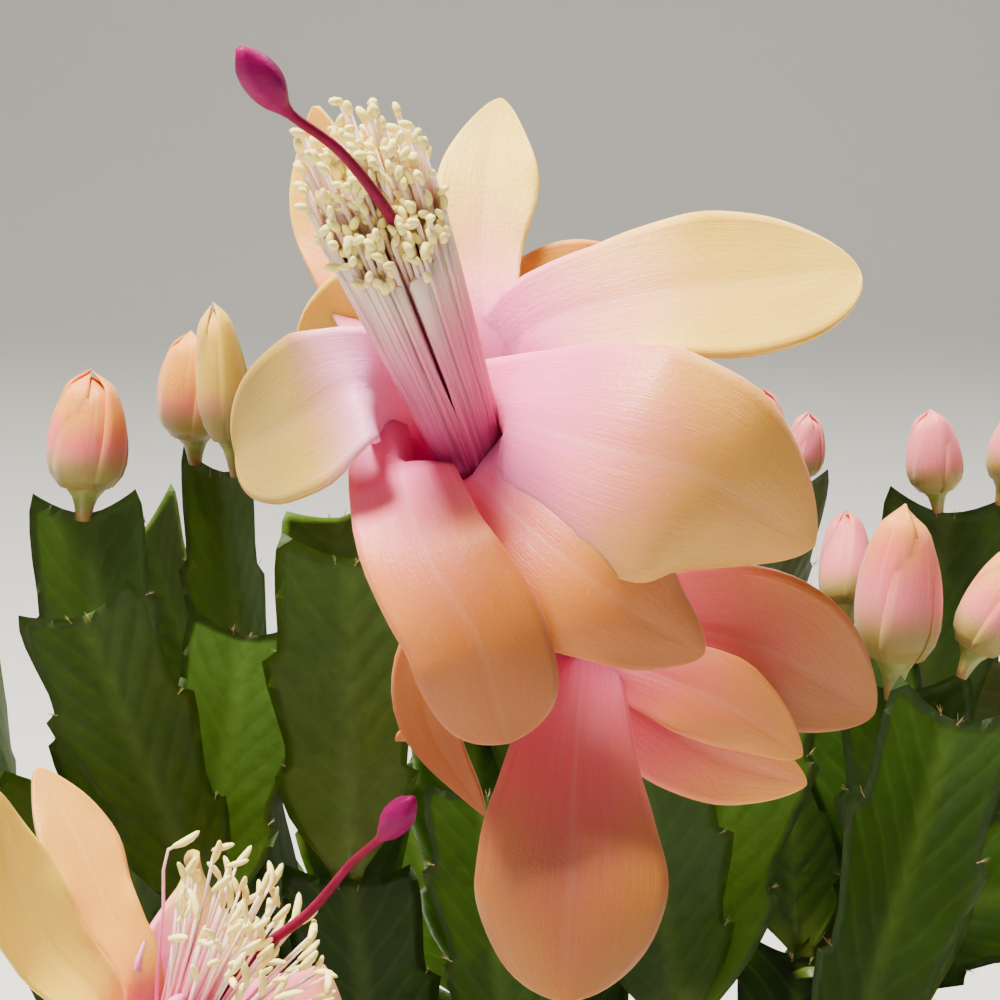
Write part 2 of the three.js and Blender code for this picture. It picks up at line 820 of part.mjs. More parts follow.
// How finely a bloom is drawn
const FULL = {
  petals: 'all',
  across: 2,
  along: 5,
  tubeSides: 10,
  bundle: CLOSED_BUNDLE,
  flutes: 4,
  anthers: 13,
  styleSteps: 10,
};
const PLAIN = {
  petals: 'main',
  across: 2,
  along: 5,
  tubeSides: 8,
  bundle: OPEN_BUNDLE,
  flutes: 4,
  anthers: 9,
  styleSteps: 9,
};
const SMALL = {
  petals: 'main',
  across: 2,
  along: 3,
  tubeSides: 6,
  bundle: CLOSED_BUNDLE,
  flutes: 3,
  anthers: 6,
  styleSteps: 6,
};

// Where the blooms sit: the stem, the way the throat points, the upper side and the scale.
const BLOOMS = [
  {
    name: 'front',
    stem: 'front',
    axis: vec(-0.393, -0.442, 0.806),
    upper: vec(-0.295, 0.891, 0.345),
    scale: 1,
    detail: FULL,
  },
  {
    name: 'front_left',
    stem: 'front_left',
    axis: vec(0.445, -0.314, 0.838),
    upper: vec(-0.911, 0.031, 0.411),
    scale: 0.94,
    detail: PLAIN,
  },
  {
    name: 'right',
    stem: 'right_side',
    axis: vec(0.88, -0.1, 0.45),
    upper: vec(-0.4, 0, 0.9),
    scale: 0.92,
    detail: SMALL,
  },
  {
    name: 'back',
    stem: 'back',
    axis: vec(0.15, 0.9, 0.4),
    upper: vec(0, -0.4, 0.9),
    scale: 0.92,
    detail: SMALL,
  },
];

function basis(axis, upper) {
  const z = axis.clone().normalize();
  const x = upper.clone().cross(z).normalize();
  return new THREE.Matrix4().makeBasis(x, z.clone().cross(x), z);
}

const lastSegment = (name) => {
  const stem = PLACED.findIndex((placed) => placed.name === name);
  return segments.find((segment) => segment.stem === stem && segment.last);
};

// The place just off the notched tip of a segment, where a bloom or a bud is joined.
const NOTCH = 0.95;
const NOTCH_SLOPE = 0.064;
const BLOOM_SEAT = GAP + 0.45;
const BUD_SEAT = GAP + 0.4;

function seat(segment, u, gap) {
  const tip = segmentPoint(segment, NOTCH + NOTCH_SLOPE * Math.abs(u), u, 0);
  return tip.addScaledVector(segment.direction, gap);
}

function bloomPlace({ stem, axis, upper, scale }) {
  const turn = basis(axis, upper).multiply(basis(BLOOM_AXIS, BLOOM_UPPER).transpose());
  const foot = seat(lastSegment(stem), 0, BLOOM_SEAT);
  const throat = foot.addScaledVector(axis.clone().normalize(), TUBE_LENGTH * scale);
  return turn.scale(vec(scale, scale, scale)).setPosition(throat);
}

const placedBlooms = BLOOMS.map((bloom) => {
  const place = bloomPlace(bloom);
  const solids = makeBloom(bloom.detail);
  const centre = vec(3, -8, -4).applyMatrix4(place);
  lastSegment(bloom.stem).taken = true;
  return { name: bloom.name, room: BLOOM_ROOM * bloom.scale, place, solids, centre };
});

// Buds sit on tips of the placed stems. `at` is the place across the tip and `lean` tips it over.
const BUDS = [
  { name: 'left_tall', at: 0, length: 15, radius: 4, lean: [0.16, 0, 0] },
  { name: 'left_inner', at: -0.5, length: 14, radius: 3.7, lean: [0.1, 0, 0] },
  { name: 'left_inner', at: 0.45, length: 18, radius: 2.7, lean: [0, 0, 0] },
  { name: 'right_tall', at: -0.15, length: 10.5, radius: 2.8, lean: [-0.2, 0, 0] },
  { name: 'right_tall', at: 0.7, length: 11, radius: 2.6, lean: [0.15, 0, 0] },
  { name: 'right_inner', at: 0.1, length: 8.5, radius: 2.1, lean: [-0.1, 0, 0] },
  { name: 'right_inner', at: -0.75, length: 10, radius: 2.2, lean: [-0.25, 0, 0] },
  { name: 'right_low', at: -0.15, length: 18, radius: 3.9, lean: [0.1, 0, 0] },
  { name: 'right_low', at: 0.8, length: 13, radius: 3, lean: [0.5, 0, 0] },
];

// A bud: a tapered seed pod and an oblong roll of closed petals in a green cup.
const BUD_PROFILE = [[0, 0.25], [0.1, 0.4], [0.24, 0.86], [0.46, 1], [0.76, 0.78], [1, 0.2]];

function budShape(foot, direction, length, radius, bow) {
  const x = vec(direction.y, -direction.x, 0.001).normalize();
  const y = direction.clone().cross(x);
  const rings = BUD_PROFILE.map(([v, r], k) => {
    const centre = foot.clone().addScaledVector(direction, v * length);
    centre.z += bow * v * v * length;
    const ring = [];
    for (let i = 0; i < BUD_SIDES; i += 1) {
      ring.push(onCircle(centre, x, y, r * radius, (Math.PI * (2 * i + k * 0.4)) / BUD_SIDES));
    }
    return ring;
  });
  return loft(rings);
}

const buds = [];

function addBud(segment, u, length, radius, lean, bow) {
  const direction = segment.direction.clone().add(lean).normalize();
  buds.push({ foot: seat(segment, u, BUD_SEAT), direction, length, radius, bow });
  segment.taken = true;
}

BUDS.forEach((bud) => {
  addBud(lastSegment(bud.name), bud.at, bud.length, bud.radius, vec(...bud.lean), 0);
});
PLACED.filter((placed) => placed.branchBud).forEach(({ offshoot, branchBud }) => {
  addBud(offshoot, 0, branchBud.length, branchBud.radius, vec(...branchBud.lean), 0.1);
});

// Filling growth
//
// More segments grow from the joints, outward and lower with each step, wherever there is room.

function isOutside(point) {
  const reach = Math.hypot(point.x, point.y);
  const dome = CANOPY_TOP - CANOPY_DROP * (reach / CANOPY_REACH) ** 2;
  const { halfWidth, depth, height } = FRONT_OPENING;
  const inFront = point.y < depth && Math.abs(point.x) < halfWidth && point.z > height;
  const atRim = reach < POT_RIM_RADIUS + RIM_ROOM && point.z < POT_HEIGHT + RIM_ROOM;
  return point.z > dome || point.z < LOWEST_TIP || reach > CANOPY_REACH || inFront || atRim;
}

function nearBud(point, bud) {
  const middle = bud.foot.clone().addScaledVector(bud.direction, bud.length / 2);
  return point.distanceTo(middle) < bud.length / 2 + BUD_CLEARANCE;
}

function nearSegment(candidate, other) {
  if (other === candidate.parent || candidate.middle.distanceTo(other.middle) > NEIGHBOUR_RANGE) {
    return false;
  }
  const own = other.stem === candidate.stem;
  const near = own ? OWN_CLEARANCE : STEM_CLEARANCE;
  return candidate.samples.some((point) => {
    const atJoint = own && point.distanceTo(candidate.from) < JOINT_ROOM;
    return !atJoint && other.samples.some((spot) => point.distanceTo(spot) < near);
  });
}

function isClear(candidate) {
  const crowded = candidate.samples.some((point) => {
    const nearBloom = placedBlooms.some(({ centre, room }) => point.distanceTo(centre) < room);
    return nearBloom || isOutside(point) || buds.some((bud) => nearBud(point, bud));
  });
  return !crowded && !segments.some((other) => nearSegment(candidate, other));
}

function growFrom(parent) {
  const level = parent.level ?? (parent.to.z > HIGH_JOINT ? 2.5 : 1);
  for (let attempt = 0; attempt < GROWTH_ATTEMPTS; attempt += 1) {
    const azimuth = Math.atan2(parent.to.y, parent.to.x) + spreadDraw(GROWTH_YAW);
    const rise = mix(FIRST_RISE, LAST_RISE, Math.min(level / 4, 1)) + spreadDraw(GROWTH_PITCH);
    const elevation = THREE.MathUtils.degToRad(rise);
    const length = SEGMENT_LENGTH + spreadDraw(SEGMENT_LENGTH_SPREAD);
    const flat = Math.cos(elevation);
    const direction = vec(Math.cos(azimuth) * flat, Math.sin(azimuth) * flat, Math.sin(elevation));
    if (!parent.children) {
      direction.addScaledVector(parent.side, -0.75 * direction.dot(parent.side)).normalize();
    }
    const from = parent.children ? segmentPoint(parent, 0.96, spreadDraw(0.35), 0) : parent.to.clone();
    const to = from.clone().addScaledVector(direction, length);
    const tilt = vec(spreadDraw(0.45), spreadDraw(0.45), 0.3 + spreadDraw(0.3));
    const facing = parent.face.clone().add(tilt);
    const width = SEGMENT_WIDTH + spreadDraw(SEGMENT_WIDTH_SPREAD);
    const bulge = 1 + draw() * 2;
    const twist = spreadDraw(0.5);
    const candidate = makeSegment(parent.stem, parent, from, to, facing, width, bulge, twist);
    candidate.level = level + 1;
    if (parent.direction.dot(direction) > 0.3 && isClear(candidate)) {
      return candidate;
    }
  }
  return null;
}

state = SEED;
let grown = 0;
for (let round = 0; round < GROWTH_ROUNDS; round += 1) {
  for (const parent of [...segments]) {
    const full = grown >= FILLER_SEGMENTS || parent.taken || parent.children > 1;
    const child = full ? null : growFrom(parent);
    if (child) {
      attach(child);
      grown += 1;
    }
  }
}

// Small buds on every other free tip of the filling growth
function hasRoomForBud(segment) {
  const spot = seat(segment, 0, 9);
  const isFar = (point) => point.distanceTo(spot) > BUD_ROOM;
  return placedBlooms.every(({ centre, room }) => spot.distanceTo(centre) > room + BUD_ROOM)
    && segments.every((other) => other === segment || other.samples.every(isFar));
}

const freeTips = segments.filter((s) => s.level && !s.children && !s.taken && hasRoomForBud(s));
freeTips.filter((unused, i) => i % 2 === 0).slice(0, SMALL_BUDS).forEach((segment) => {
  addBud(segment, 0, mix(9, 16, draw()), mix(2.2, 3.2, draw()), vec(0, 0, 0.25), 0.1);
});

// The pot and its soil

const shoulder = POT_HEIGHT - POT_RIM_DEPTH;
const bodyTop = POT_RIM_RADIUS - POT_RIM_STEP;
const wallTop = POT_RIM_RADIUS - POT_WALL;
const wallFoot = POT_FOOT_RADIUS - POT_WALL;

function turned(profile) {
  const points = profile.map(([radius, z]) => new THREE.Vector2(radius, z));
  return new THREE.LatheGeometry(points, POT_TURNS).rotateX(Math.PI / 2);
}

// An upright rod whose middle stands at x, y and z.
function upright(topRadius, bottomRadius, height, sides, x, y, z) {
  const rod = new THREE.CylinderGeometry(topRadius, bottomRadius, height, sides);
  return rod.rotateX(Math.PI / 2).translate(x, y, z);
}

const potProfile = [
  [0, 0], [POT_FOOT_RADIUS - 1.5, 0], [POT_FOOT_RADIUS, 1.5], [bodyTop, shoulder],
  [POT_RIM_RADIUS - 1, shoulder], [POT_RIM_RADIUS, shoulder + 1.5], [POT_RIM_RADIUS, POT_HEIGHT - 2],
  [POT_RIM_RADIUS - 1.5, POT_HEIGHT], [wallTop + 1.2, POT_HEIGHT], [wallTop, POT_HEIGHT - 2],
  [wallFoot, POT_FLOOR], [0, POT_FLOOR],
];
let pot = toSolid(turned(potProfile));
for (let i = 0; i < DRAIN_HOLES; i += 1) {
  const angle = (2 * Math.PI * (i + 0.5)) / DRAIN_HOLES;
  const [x, y] = [DRAIN_RING * Math.cos(angle), DRAIN_RING * Math.sin(angle)];
  pot = pot.subtract(toSolid(upright(DRAIN_RADIUS, DRAIN_RADIUS, POT_FLOOR * 2, 12, x, y, POT_FLOOR / 2)));
}
addPart('pot', outerBody(pot), CLAY, 0.85);

// The inner radius of the pot at a height, less the gap that the soil keeps to it.
const soilRadius = (z) => mix(wallFoot, wallTop, (z - POT_FLOOR) / (POT_HEIGHT - 2 - POT_FLOOR)) - SOIL_GAP;
const soilBottom = POT_FLOOR + GAP;
const soilProfile = [
  [0, soilBottom], [soilRadius(soilBottom), soilBottom], [soilRadius(SOIL_EDGE_HEIGHT), SOIL_EDGE_HEIGHT],
  [40, mix(SOIL_EDGE_HEIGHT, SOIL_CROWN_HEIGHT, 0.7)], [16, SOIL_CROWN_HEIGHT], [0, SOIL_CROWN_HEIGHT],
];
let soil = toSolid(turned(soilProfile));
const holeDepth = POT_HEIGHT - STUB_BOTTOM;
PLACED.forEach(({ joints }) => {
  const [x, y] = joints[0];
  const middle = STUB_BOTTOM - GAP + holeDepth / 2;
  soil = soil.subtract(toSolid(upright(HOLE_RADIUS, HOLE_RADIUS, holeDepth, STUB_SIDES, x, y, middle)));
});
addPart('soil', outerBody(soil), SOIL_BROWN, 0.95);

// The stems, each with a woody foot that stands in its hole
PLACED.forEach((placed, stem) => {
  const [x, y, z] = placed.joints[0];
  const top = z + STUB_OVERLAP;
  const height = top - STUB_BOTTOM;
  const foot = upright(STUB_RADIUS * 0.8, STUB_RADIUS, height, STUB_SIDES, x, y, (top + STUB_BOTTOM) / 2);
  const blades = chainShapes(segments.filter((segment) => segment.stem === stem));
  addPart(`stem_${placed.name}`, outerBody(unite([foot, ...blades])), LEAF_GREEN, 0.5);
});

// The blooms and the buds
placedBlooms.forEach(({ name, place, solids }) => {
  addPart(`petals_${name}`, outerBody(solids.petals, place), PETAL_ORANGE, 0.45);
  addPart(`stamens_${name}`, outerBody(solids.stamens, place), FILAMENT_CREAM, 0.6);
  addPart(`style_${name}`, outerBody(solids.style, place), STYLE_MAGENTA, 0.35);
});

buds.forEach((bud, i) => {
  const shape = budShape(bud.foot, bud.direction, bud.length, bud.radius, bud.bow);
  addPart(`bud_${String(i + 1).padStart(2, '0')}`, outerBody(toSolid(shape)), BUD_PINK, 0.45);
});

export default group;
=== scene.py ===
# %% [markdown]
# # A potted christmas cactus in bloom
#
# A christmas cactus has no leaves. Its stems are flat green segments that hang together in chains,
# and its flowers and buds sit on the tips. The solids of the frame already say where each piece
# is, so this lesson only dresses them: it grows the same chains again from the same numbers, and
# puts a finer piece in the place of each solid. A sculpted plant would also work, but chains that
# grow by a rule can be changed by one number.

# %% Load the fixed frame
import json
import math
from dataclasses import dataclass, replace

import bmesh
import bpy
import numpy as np
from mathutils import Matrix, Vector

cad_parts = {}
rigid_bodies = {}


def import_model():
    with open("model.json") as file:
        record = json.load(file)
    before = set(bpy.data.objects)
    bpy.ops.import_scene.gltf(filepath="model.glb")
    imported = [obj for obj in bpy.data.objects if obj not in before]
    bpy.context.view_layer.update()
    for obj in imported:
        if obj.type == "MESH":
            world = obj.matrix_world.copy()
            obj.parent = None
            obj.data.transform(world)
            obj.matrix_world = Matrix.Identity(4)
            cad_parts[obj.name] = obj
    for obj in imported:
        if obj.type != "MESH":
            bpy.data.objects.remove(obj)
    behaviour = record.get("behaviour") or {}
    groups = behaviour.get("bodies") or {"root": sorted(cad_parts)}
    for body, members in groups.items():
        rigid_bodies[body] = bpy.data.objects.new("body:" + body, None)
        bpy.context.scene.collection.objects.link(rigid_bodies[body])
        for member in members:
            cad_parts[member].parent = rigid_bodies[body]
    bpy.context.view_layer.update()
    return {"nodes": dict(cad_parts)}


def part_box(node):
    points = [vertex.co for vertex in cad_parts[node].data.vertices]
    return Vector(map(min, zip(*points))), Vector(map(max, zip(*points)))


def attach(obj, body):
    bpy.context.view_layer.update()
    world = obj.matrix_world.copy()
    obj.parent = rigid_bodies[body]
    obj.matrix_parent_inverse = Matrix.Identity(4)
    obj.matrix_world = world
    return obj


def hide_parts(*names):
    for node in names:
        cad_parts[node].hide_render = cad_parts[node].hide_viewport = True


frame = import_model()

MM = 0.001
print("frame nodes:", len(frame["nodes"]))

# %% [markdown]
# ## Camera, light and floor
#
# A flower is looked at from close by. The camera stands twenty centimetres in front of the largest
# bloom and looks down on it by twelve degrees, and a long lens keeps the petals from bulging.

# %% Camera
VIEW_WIDTH = 0.083
VIEW_DISTANCE = 0.2
LOOK_DOWN = math.radians(12)
LOOK_AT = (0.0, -0.07, 0.225)


def link(name, data):
    """Puts an object with this data in the scene."""
    thing = bpy.data.objects.new(name, data)
    bpy.context.scene.collection.objects.link(thing)
    return thing


def keep(name, bm):
    """Keeps a modelled shape as a mesh."""
    mesh = bpy.data.meshes.new(name)
    bm.to_mesh(mesh)
    bm.free()
    return mesh


camera_data = bpy.data.cameras.new("camera")
camera_data.sensor_width = 36.0
camera_data.lens = camera_data.sensor_width * VIEW_DISTANCE / VIEW_WIDTH
camera_data.clip_start = 0.01
camera = link("camera", camera_data)
camera.location = (
    LOOK_AT[0],
    LOOK_AT[1] - VIEW_DISTANCE * math.cos(LOOK_DOWN),
    LOOK_AT[2] + VIEW_DISTANCE * math.sin(LOOK_DOWN),
)
camera.rotation_euler = (math.pi / 2 - LOOK_DOWN, 0.0, 0.0)
bpy.context.scene.camera = camera
print("lens:", round(camera_data.lens, 1), "mm")

# %% [markdown]
# The light is soft. A strong lamp high above the plant, a little to the left, models the petals, a
# weak one at the front left fills the shade, and a third at the back right lights the rims. A sun
# lamp would be simpler, but its hard shadows would hide the fine streaks of the petals.


# %% Lamps and daylight
def soft_lamp(name, place, aim, width, watts, colour):
    """A square lamp at a place, turned to what it lights."""
    data = bpy.data.lights.new(name, "AREA")
    data.size, data.energy, data.color = width, watts, colour
    lamp = link(name, data)
    lamp.location = place
    x, y, z = np.array(aim) - np.array(place)
    lamp.rotation_euler = (math.atan2(math.hypot(x, y), -z), 0.0, math.atan2(y, x) - math.pi / 2)


soft_lamp("key_lamp", (-0.3, -0.12, 1.25), (0, -0.05, 0.2), 0.36, 75.0, (1.0, 0.95, 0.86))
soft_lamp("fill_lamp", (-0.6, -0.9, 0.7), (0, -0.03, 0.2), 0.6, 3.2, (0.97, 0.98, 1.0))
soft_lamp("rim_lamp", (0.4, 0.6, 0.9), (0, 0, 0.2), 0.5, 7.0, (1.0, 0.97, 0.92))

sky = bpy.data.worlds.new("daylight")
sky.use_nodes = True
sky_inputs = sky.node_tree.nodes["Background"].inputs
sky_inputs["Color"].default_value = (0.86, 0.9, 0.95, 1.0)
sky_inputs["Strength"].default_value = 0.18
bpy.context.scene.world = sky
print("lamps:", len(bpy.data.lights))

# %% [markdown]
# Living surfaces are never one flat colour. Each finish below starts from a few named colours and
# lets noise, the place along the piece and a tone that each piece carries choose between them. A
# small helper adds a node, sets its values and joins it up, which keeps each finish readable.


# %% Helpers for finishes
def tint(code):
    """The linear colour of a web colour code."""
    parts = [int(code[i:i + 2], 16) / 255 for i in (1, 3, 5)]
    linear = [c / 12.92 if c <= 0.04045 else ((c + 0.055) / 1.055) ** 2.4 for c in parts]
    return (*linear, 1.0)


class Finish:
    """A material with short ways to add what it is made of. Colours are given as web codes."""

    def __init__(self, name, roughness, **shader_values):
        self.material = bpy.data.materials.new(name)
        self.material.use_nodes = True
        self.tree = self.material.node_tree
        self.shader = self.tree.nodes["Principled BSDF"]
        for key, value in {"roughness": roughness, **shader_values}.items():
            label = key.replace("_", " ").title().replace("Ior", "IOR")
            self.shader.inputs[label].default_value = value

    def join(self, source, label):
        self.tree.links.new(source, self.shader.inputs[label])

    def add(self, kind, inputs=None, **settings):
        """Adds a node. An input takes a number, a colour or what another node gives."""
        node = self.tree.nodes.new("ShaderNode" + kind)
        for key, value in settings.items():
            setattr(node, key, value)
        for key, value in (inputs or {}).items():
            if isinstance(value, bpy.types.NodeSocket):
                self.tree.links.new(value, node.inputs[key])
            else:
                node.inputs[key].default_value = tint(value) if isinstance(value, str) else value
        return node

    def math(self, operation, a, b=0.0):
        return self.add("Math", {0: a, 1: b}, operation=operation).outputs[0]

    def plus(self, a, b):
        return self.math("ADD", a, b)

    def times(self, a, b):
        return self.math("MULTIPLY", a, b)

    def swing(self, noise, amount):
        """A noise about a half, made to swing by this amount about zero."""
        return self.times(self.math("SUBTRACT", noise, 0.5), amount)

    def off_rib(self, across):
        """0 on the rib of a piece and 0.5 on its edge."""
        return self.math("ABSOLUTE", self.math("SUBTRACT", across, 0.5))

    def ramp(self, value, low, high, start=0.0, end=1.0):
        """The value eased from start to end while it runs from low to high."""
        inputs = {"Value": value, "From Min": low, "From Max": high, "To Min": start, "To Max": end}
        return self.add("MapRange", inputs, interpolation_type="SMOOTHSTEP").outputs["Result"]

    def blend(self, factor, a, b, how="MIX"):
        node = self.add("Mix", {0: factor, 6: a, 7: b}, data_type="RGBA", blend_type=how)
        return node.outputs[2]

    def noise(self, place, scale, detail=3.0, roughness=0.55):
        inputs = {"Vector": place, "Scale": scale, "Detail": detail, "Roughness": roughness}
        return self.add("TexNoise", inputs).outputs[0]

    def stretched(self, place, scale):
        return self.add("Mapping", {"Vector": place, "Scale": scale}).outputs[0]

    def body_place(self):
        return self.add("TexCoord").outputs["Object"]

    def leaf_place(self):
        """The place on a piece's own map, and its parts across and along."""
        place = self.add("UVMap", uv_map="lie").outputs[0]
        parts = self.add("SeparateXYZ", {0: place})
        return place, parts.outputs[0], parts.outputs[1]

    def tones(self):
        """The four numbers that a piece carries for its finish."""
        node = self.add("Attribute", attribute_name="tone")
        parts = self.add("SeparateColor", {0: node.outputs["Color"]})
        return parts.outputs[0], parts.outputs[1], parts.outputs[2], node.outputs["Alpha"]

    def paint(self, colour, *layers):
        """Lays colours over the first one, each with its factor, and paints the piece with them."""
        for factor, over, *how in layers:
            colour = self.blend(factor, colour, over, *how)
        self.join(colour, "Base Color")

    def relief(self, height, depth, strength=1.0):
        inputs = {"Height": height, "Distance": depth, "Strength": strength}
        self.join(self.add("Bump", inputs).outputs[0], "Normal")


def grained(name, roughness, dark, light, scale, detail, share=0.55, depth=0.0,
            stretch=(1, 1, 1), edges=None):
    """A finish of two colours that follow one noise, which also gives the relief."""
    finish = Finish(name, roughness)
    grain = finish.noise(finish.stretched(finish.body_place(), stretch), scale, detail, share)
    finish.paint(dark, (finish.ramp(grain, *edges) if edges else grain, light))
    if depth:
        finish.relief(grain, depth)
    return finish


# %% [markdown]
# The floor is a plain pale sheet that curves up into a wall far behind the plant, as paper does in
# a studio, so that no edge shows. It belongs to the picture and not to the plant.

# %% Floor
FLOOR_HALF = 4.0
WALL_PLACE = 1.6
WALL_CURVE = 0.7

paper = Finish("pale_paper", 0.8, base_color=tint("#d4d2cd"))
sheet = bmesh.new()
bmesh.ops.create_grid(sheet, x_segments=1, y_segments=80, size=FLOOR_HALF)
for vert in sheet.verts:
    beyond = vert.co.y - WALL_PLACE
    if beyond > 0:
        turn = min(beyond / WALL_CURVE, math.pi / 2)
        rise = max(beyond - WALL_CURVE * math.pi / 2, 0)
        vert.co.y = WALL_PLACE + WALL_CURVE * math.sin(turn)
        vert.co.z = WALL_CURVE * (1 - math.cos(turn)) + rise
for face in sheet.faces:
    face.smooth = True
floor = link("floor", keep("floor", sheet))
floor.data.materials.append(paper.material)
print("floor:", len(floor.data.polygons), "faces")

# %% [markdown]
# ## Where everything grows
#
# The solids were grown by a rule, and the same rule run again gives the same plant. It needs the
# same random numbers, so they come from a small formula and not from a library.

# %% Dice, directions and smooth lines
DICE_FACTOR, DICE_STEP, DICE_SIDES = 1664525, 1013904223, 2 ** 32


class Dice:
    """Random numbers that are the same on every run."""

    def __init__(self, seed):
        self.state = seed

    def roll(self, low=0.0, high=1.0):
        self.state = (self.state * DICE_FACTOR + DICE_STEP) % DICE_SIDES
        return low + (high - low) * (self.state / DICE_SIDES)

    def spread(self, amount):
        return (self.roll() * 2 - 1) * amount

    def push(self, amount):
        """A random push along all three axes."""
        return vec(*(self.spread(amount) for axis in range(3)))


def vec(*values):
    return np.array(values, dtype=float)


def unit(v):
    return v / np.linalg.norm(v, axis=-1, keepdims=True)


def mix(a, b, t):
    return a + (b - a) * t


def ease(value, low, high):
    t = np.clip((value - low) / (high - low), 0, 1)
    return t * t * (3 - 2 * t)


def along(stations, v):
    """Points on a smooth line through evenly timed stations."""
    stations = np.asarray(stations, dtype=float)
    if stations.ndim == 1:
        return along(stations[:, None], v)[:, 0]
    last = len(stations) - 1
    v = np.atleast_1d(np.asarray(v, dtype=float))
    first = np.minimum(np.floor(v * last).astype(int), last - 1)
    f = (v * last - first)[:, None]
    ends = (2 * stations[0] - stations[1], 2 * stations[-1] - stations[-2])
    padded = np.vstack([ends[0], stations, ends[1]])
    p, q, r, s = (padded[first + k] for k in range(4))
    square = 2 * p - 5 * q + 4 * r - s
    cube = 3 * q - p - 3 * r + s
    return 0.5 * (2 * q + (r - p) * f + square * f * f + cube * f * f * f)


def heading(stations, v):
    v = np.atleast_1d(v)
    return unit(along(stations, np.minimum(v + 0.01, 1)) - along(stations, np.maximum(v - 0.01, 0)))


def basis(axis, upper):
    z = unit(axis)
    x = unit(np.cross(upper, z))
    return np.column_stack([x, np.cross(z, x), z])


# %% [markdown]
# A segment is flat, bulges a little between its joints and turns about its own length. A point on
# it is named by how far it is along, across and off the flat, so that teeth, bristles and buds can
# be placed on any segment in the same way.


# %% Stem segments
@dataclass(eq=False)
class Segment:
    """A flat piece of stem between two joints. Its face looks out of its flat side."""

    stem: int
    parent: object
    start: np.ndarray
    end: np.ndarray
    facing: np.ndarray
    width: float
    bulge: float
    twist: float
    level: float = None
    children: int = 0
    taken: bool = False
    last: bool = False

    def __post_init__(self):
        self.direction = unit(self.end - self.start)
        self.side = unit(np.cross(self.direction, self.facing))
        self.face = np.cross(self.side, self.direction)
        self.middle = (self.start + self.end) * 0.5
        # Seven rows of five points stand for the segment when room is looked for.
        v, u = np.meshgrid(np.arange(7) / 6, np.arange(-2, 3) / 2 * 0.85, indexing="ij")
        self.samples = self.at(v.ravel(), u.ravel())

    def at(self, v, u, w=0.0):
        """The point at v along, u across and w off the middle plane, in millimetres."""
        v, u, w = np.broadcast_arrays(*(np.asarray(value, dtype=float) for value in (v, u, w)))
        turn = self.twist * (v - 0.5)
        cosine, sine = np.cos(turn)[..., None], np.sin(turn)[..., None]
        side = self.side * cosine + self.face * sine
        face = self.face * cosine - self.side * sine
        middle = self.start + (self.end - self.start) * v[..., None]
        middle = middle + self.face * (self.bulge * 4 * v * (1 - v))[..., None]
        return middle + side * (u * self.width / 2)[..., None] + face * w[..., None]


# %% [markdown]
# Twenty-two stems are placed one by one. Each row gives the width of the segments and the joints
# from the soil to the tip, in millimetres, and three stems fork near the top. Stems at the front
# turn their flat side to the front, and the others turn it outward.

# %% Stems placed one by one
PLACED = [
    ("front", 15, [(15, -24, 96), (18, -34, 136), (18, -46, 168), (12.4, -55.3, 198.8)]),
    ("front_left", 16, [(-29, -22, 94), (-42, -36, 116), (-47, -51, 139)]),
    ("left_tall", 15, [(-30, -2, 96), (-36, -8, 135), (-42, -13, 174), (-45, -11, 213)]),
    ("left_inner", 13, [(-13, 10, 97), (-21, 6, 138), (-28, 1, 177), (-31.5, -4, 216)]),
    ("left_outer", 18, [(-42, 14, 95), (-52, 8, 134), (-57, -1, 172), (-55, -12, 211)]),
    ("left_low", 15, [(-17, -34, 95), (-27, -32, 133), (-31, -25, 171), (-27, -18, 201)]),
    ("middle_left", 17, [(-8, -10, 98), (-13, -17, 137), (-16, -26, 176), (-15, -34, 213)]),
    ("middle", 13, [(-2, -44, 94), (2, -52, 131), (1, -50, 166), (-2, -45, 192)]),
    ("right_tall", 16, [(30, 0, 96), (36, -5, 136), (45.5, -9, 173), (48.5, -11, 213)]),
    ("right_inner", 16, [(12, 12, 97), (20, 8, 137), (28, 6, 176), (34, 4, 212)]),
    ("right_low", 15, [(38, -22, 95), (44, -29, 130), (42, -38, 166), (39.5, -39, 201)]),
    ("right_front", 14, [(27, -38, 93), (32, -49, 130), (31, -61, 165), (42, -53, 203)]),
    ("left_side", 19, [(-40, -9, 95), (-63, -13, 131), (-90, -15, 158)]),
    ("right_side", 20, [(46, 8, 95), (68, 12, 130), (93, 13, 156)]),
    ("back", 20, [(6, 44, 95), (10, 66, 130), (14, 90, 158)]),
    ("back_left", 20, [(-26, 32, 96), (-42, 50, 133), (-56, 66, 169)]),
    ("back_right", 20, [(30, 34, 96), (46, 48, 134), (58, 66, 168)]),
    ("inner_left", 19, [(-26, 12, 96), (-30, 16, 136), (-34, 17, 175), (-43, 12, 206)]),
    ("inner_right", 19, [(10, -4, 98), (9, -6, 137), (6, -8, 175), (8, -10, 207)]),
    ("back_middle", 19, [(0, 26, 98), (-2, 32, 138), (-4, 36, 178), (-8, 38, 211)]),
    ("right_middle", 16, [(26, -14, 96), (31, -19, 133), (33, -20, 165), (30, -17, 193)]),
    ("back_inner", 17, [(-14, 20, 97), (-17, 24, 137), (-19, 24, 177), (-20, 22, 205)]),
]
STEM_NAMES = [row[0] for row in PLACED]
FORKS = {"front": (27, -33, 204), "left_low": (-43, -30, 206), "right_low": (36, -22, 203)}
FORK_JOINT = 2
PLACED_BULGE = 1.2
PLACED_TWIST = 0.35
FRONT = vec(0, -1, 0.25)
UPTURN = vec(0, 0, 0.3)
# Where stems turn to the front: half the width, the farthest depth, and how far each fades.
FRONT_HALF, FRONT_HALF_FADE = 62, 14
FRONT_BACK, FRONT_BACK_FADE = 20, 35


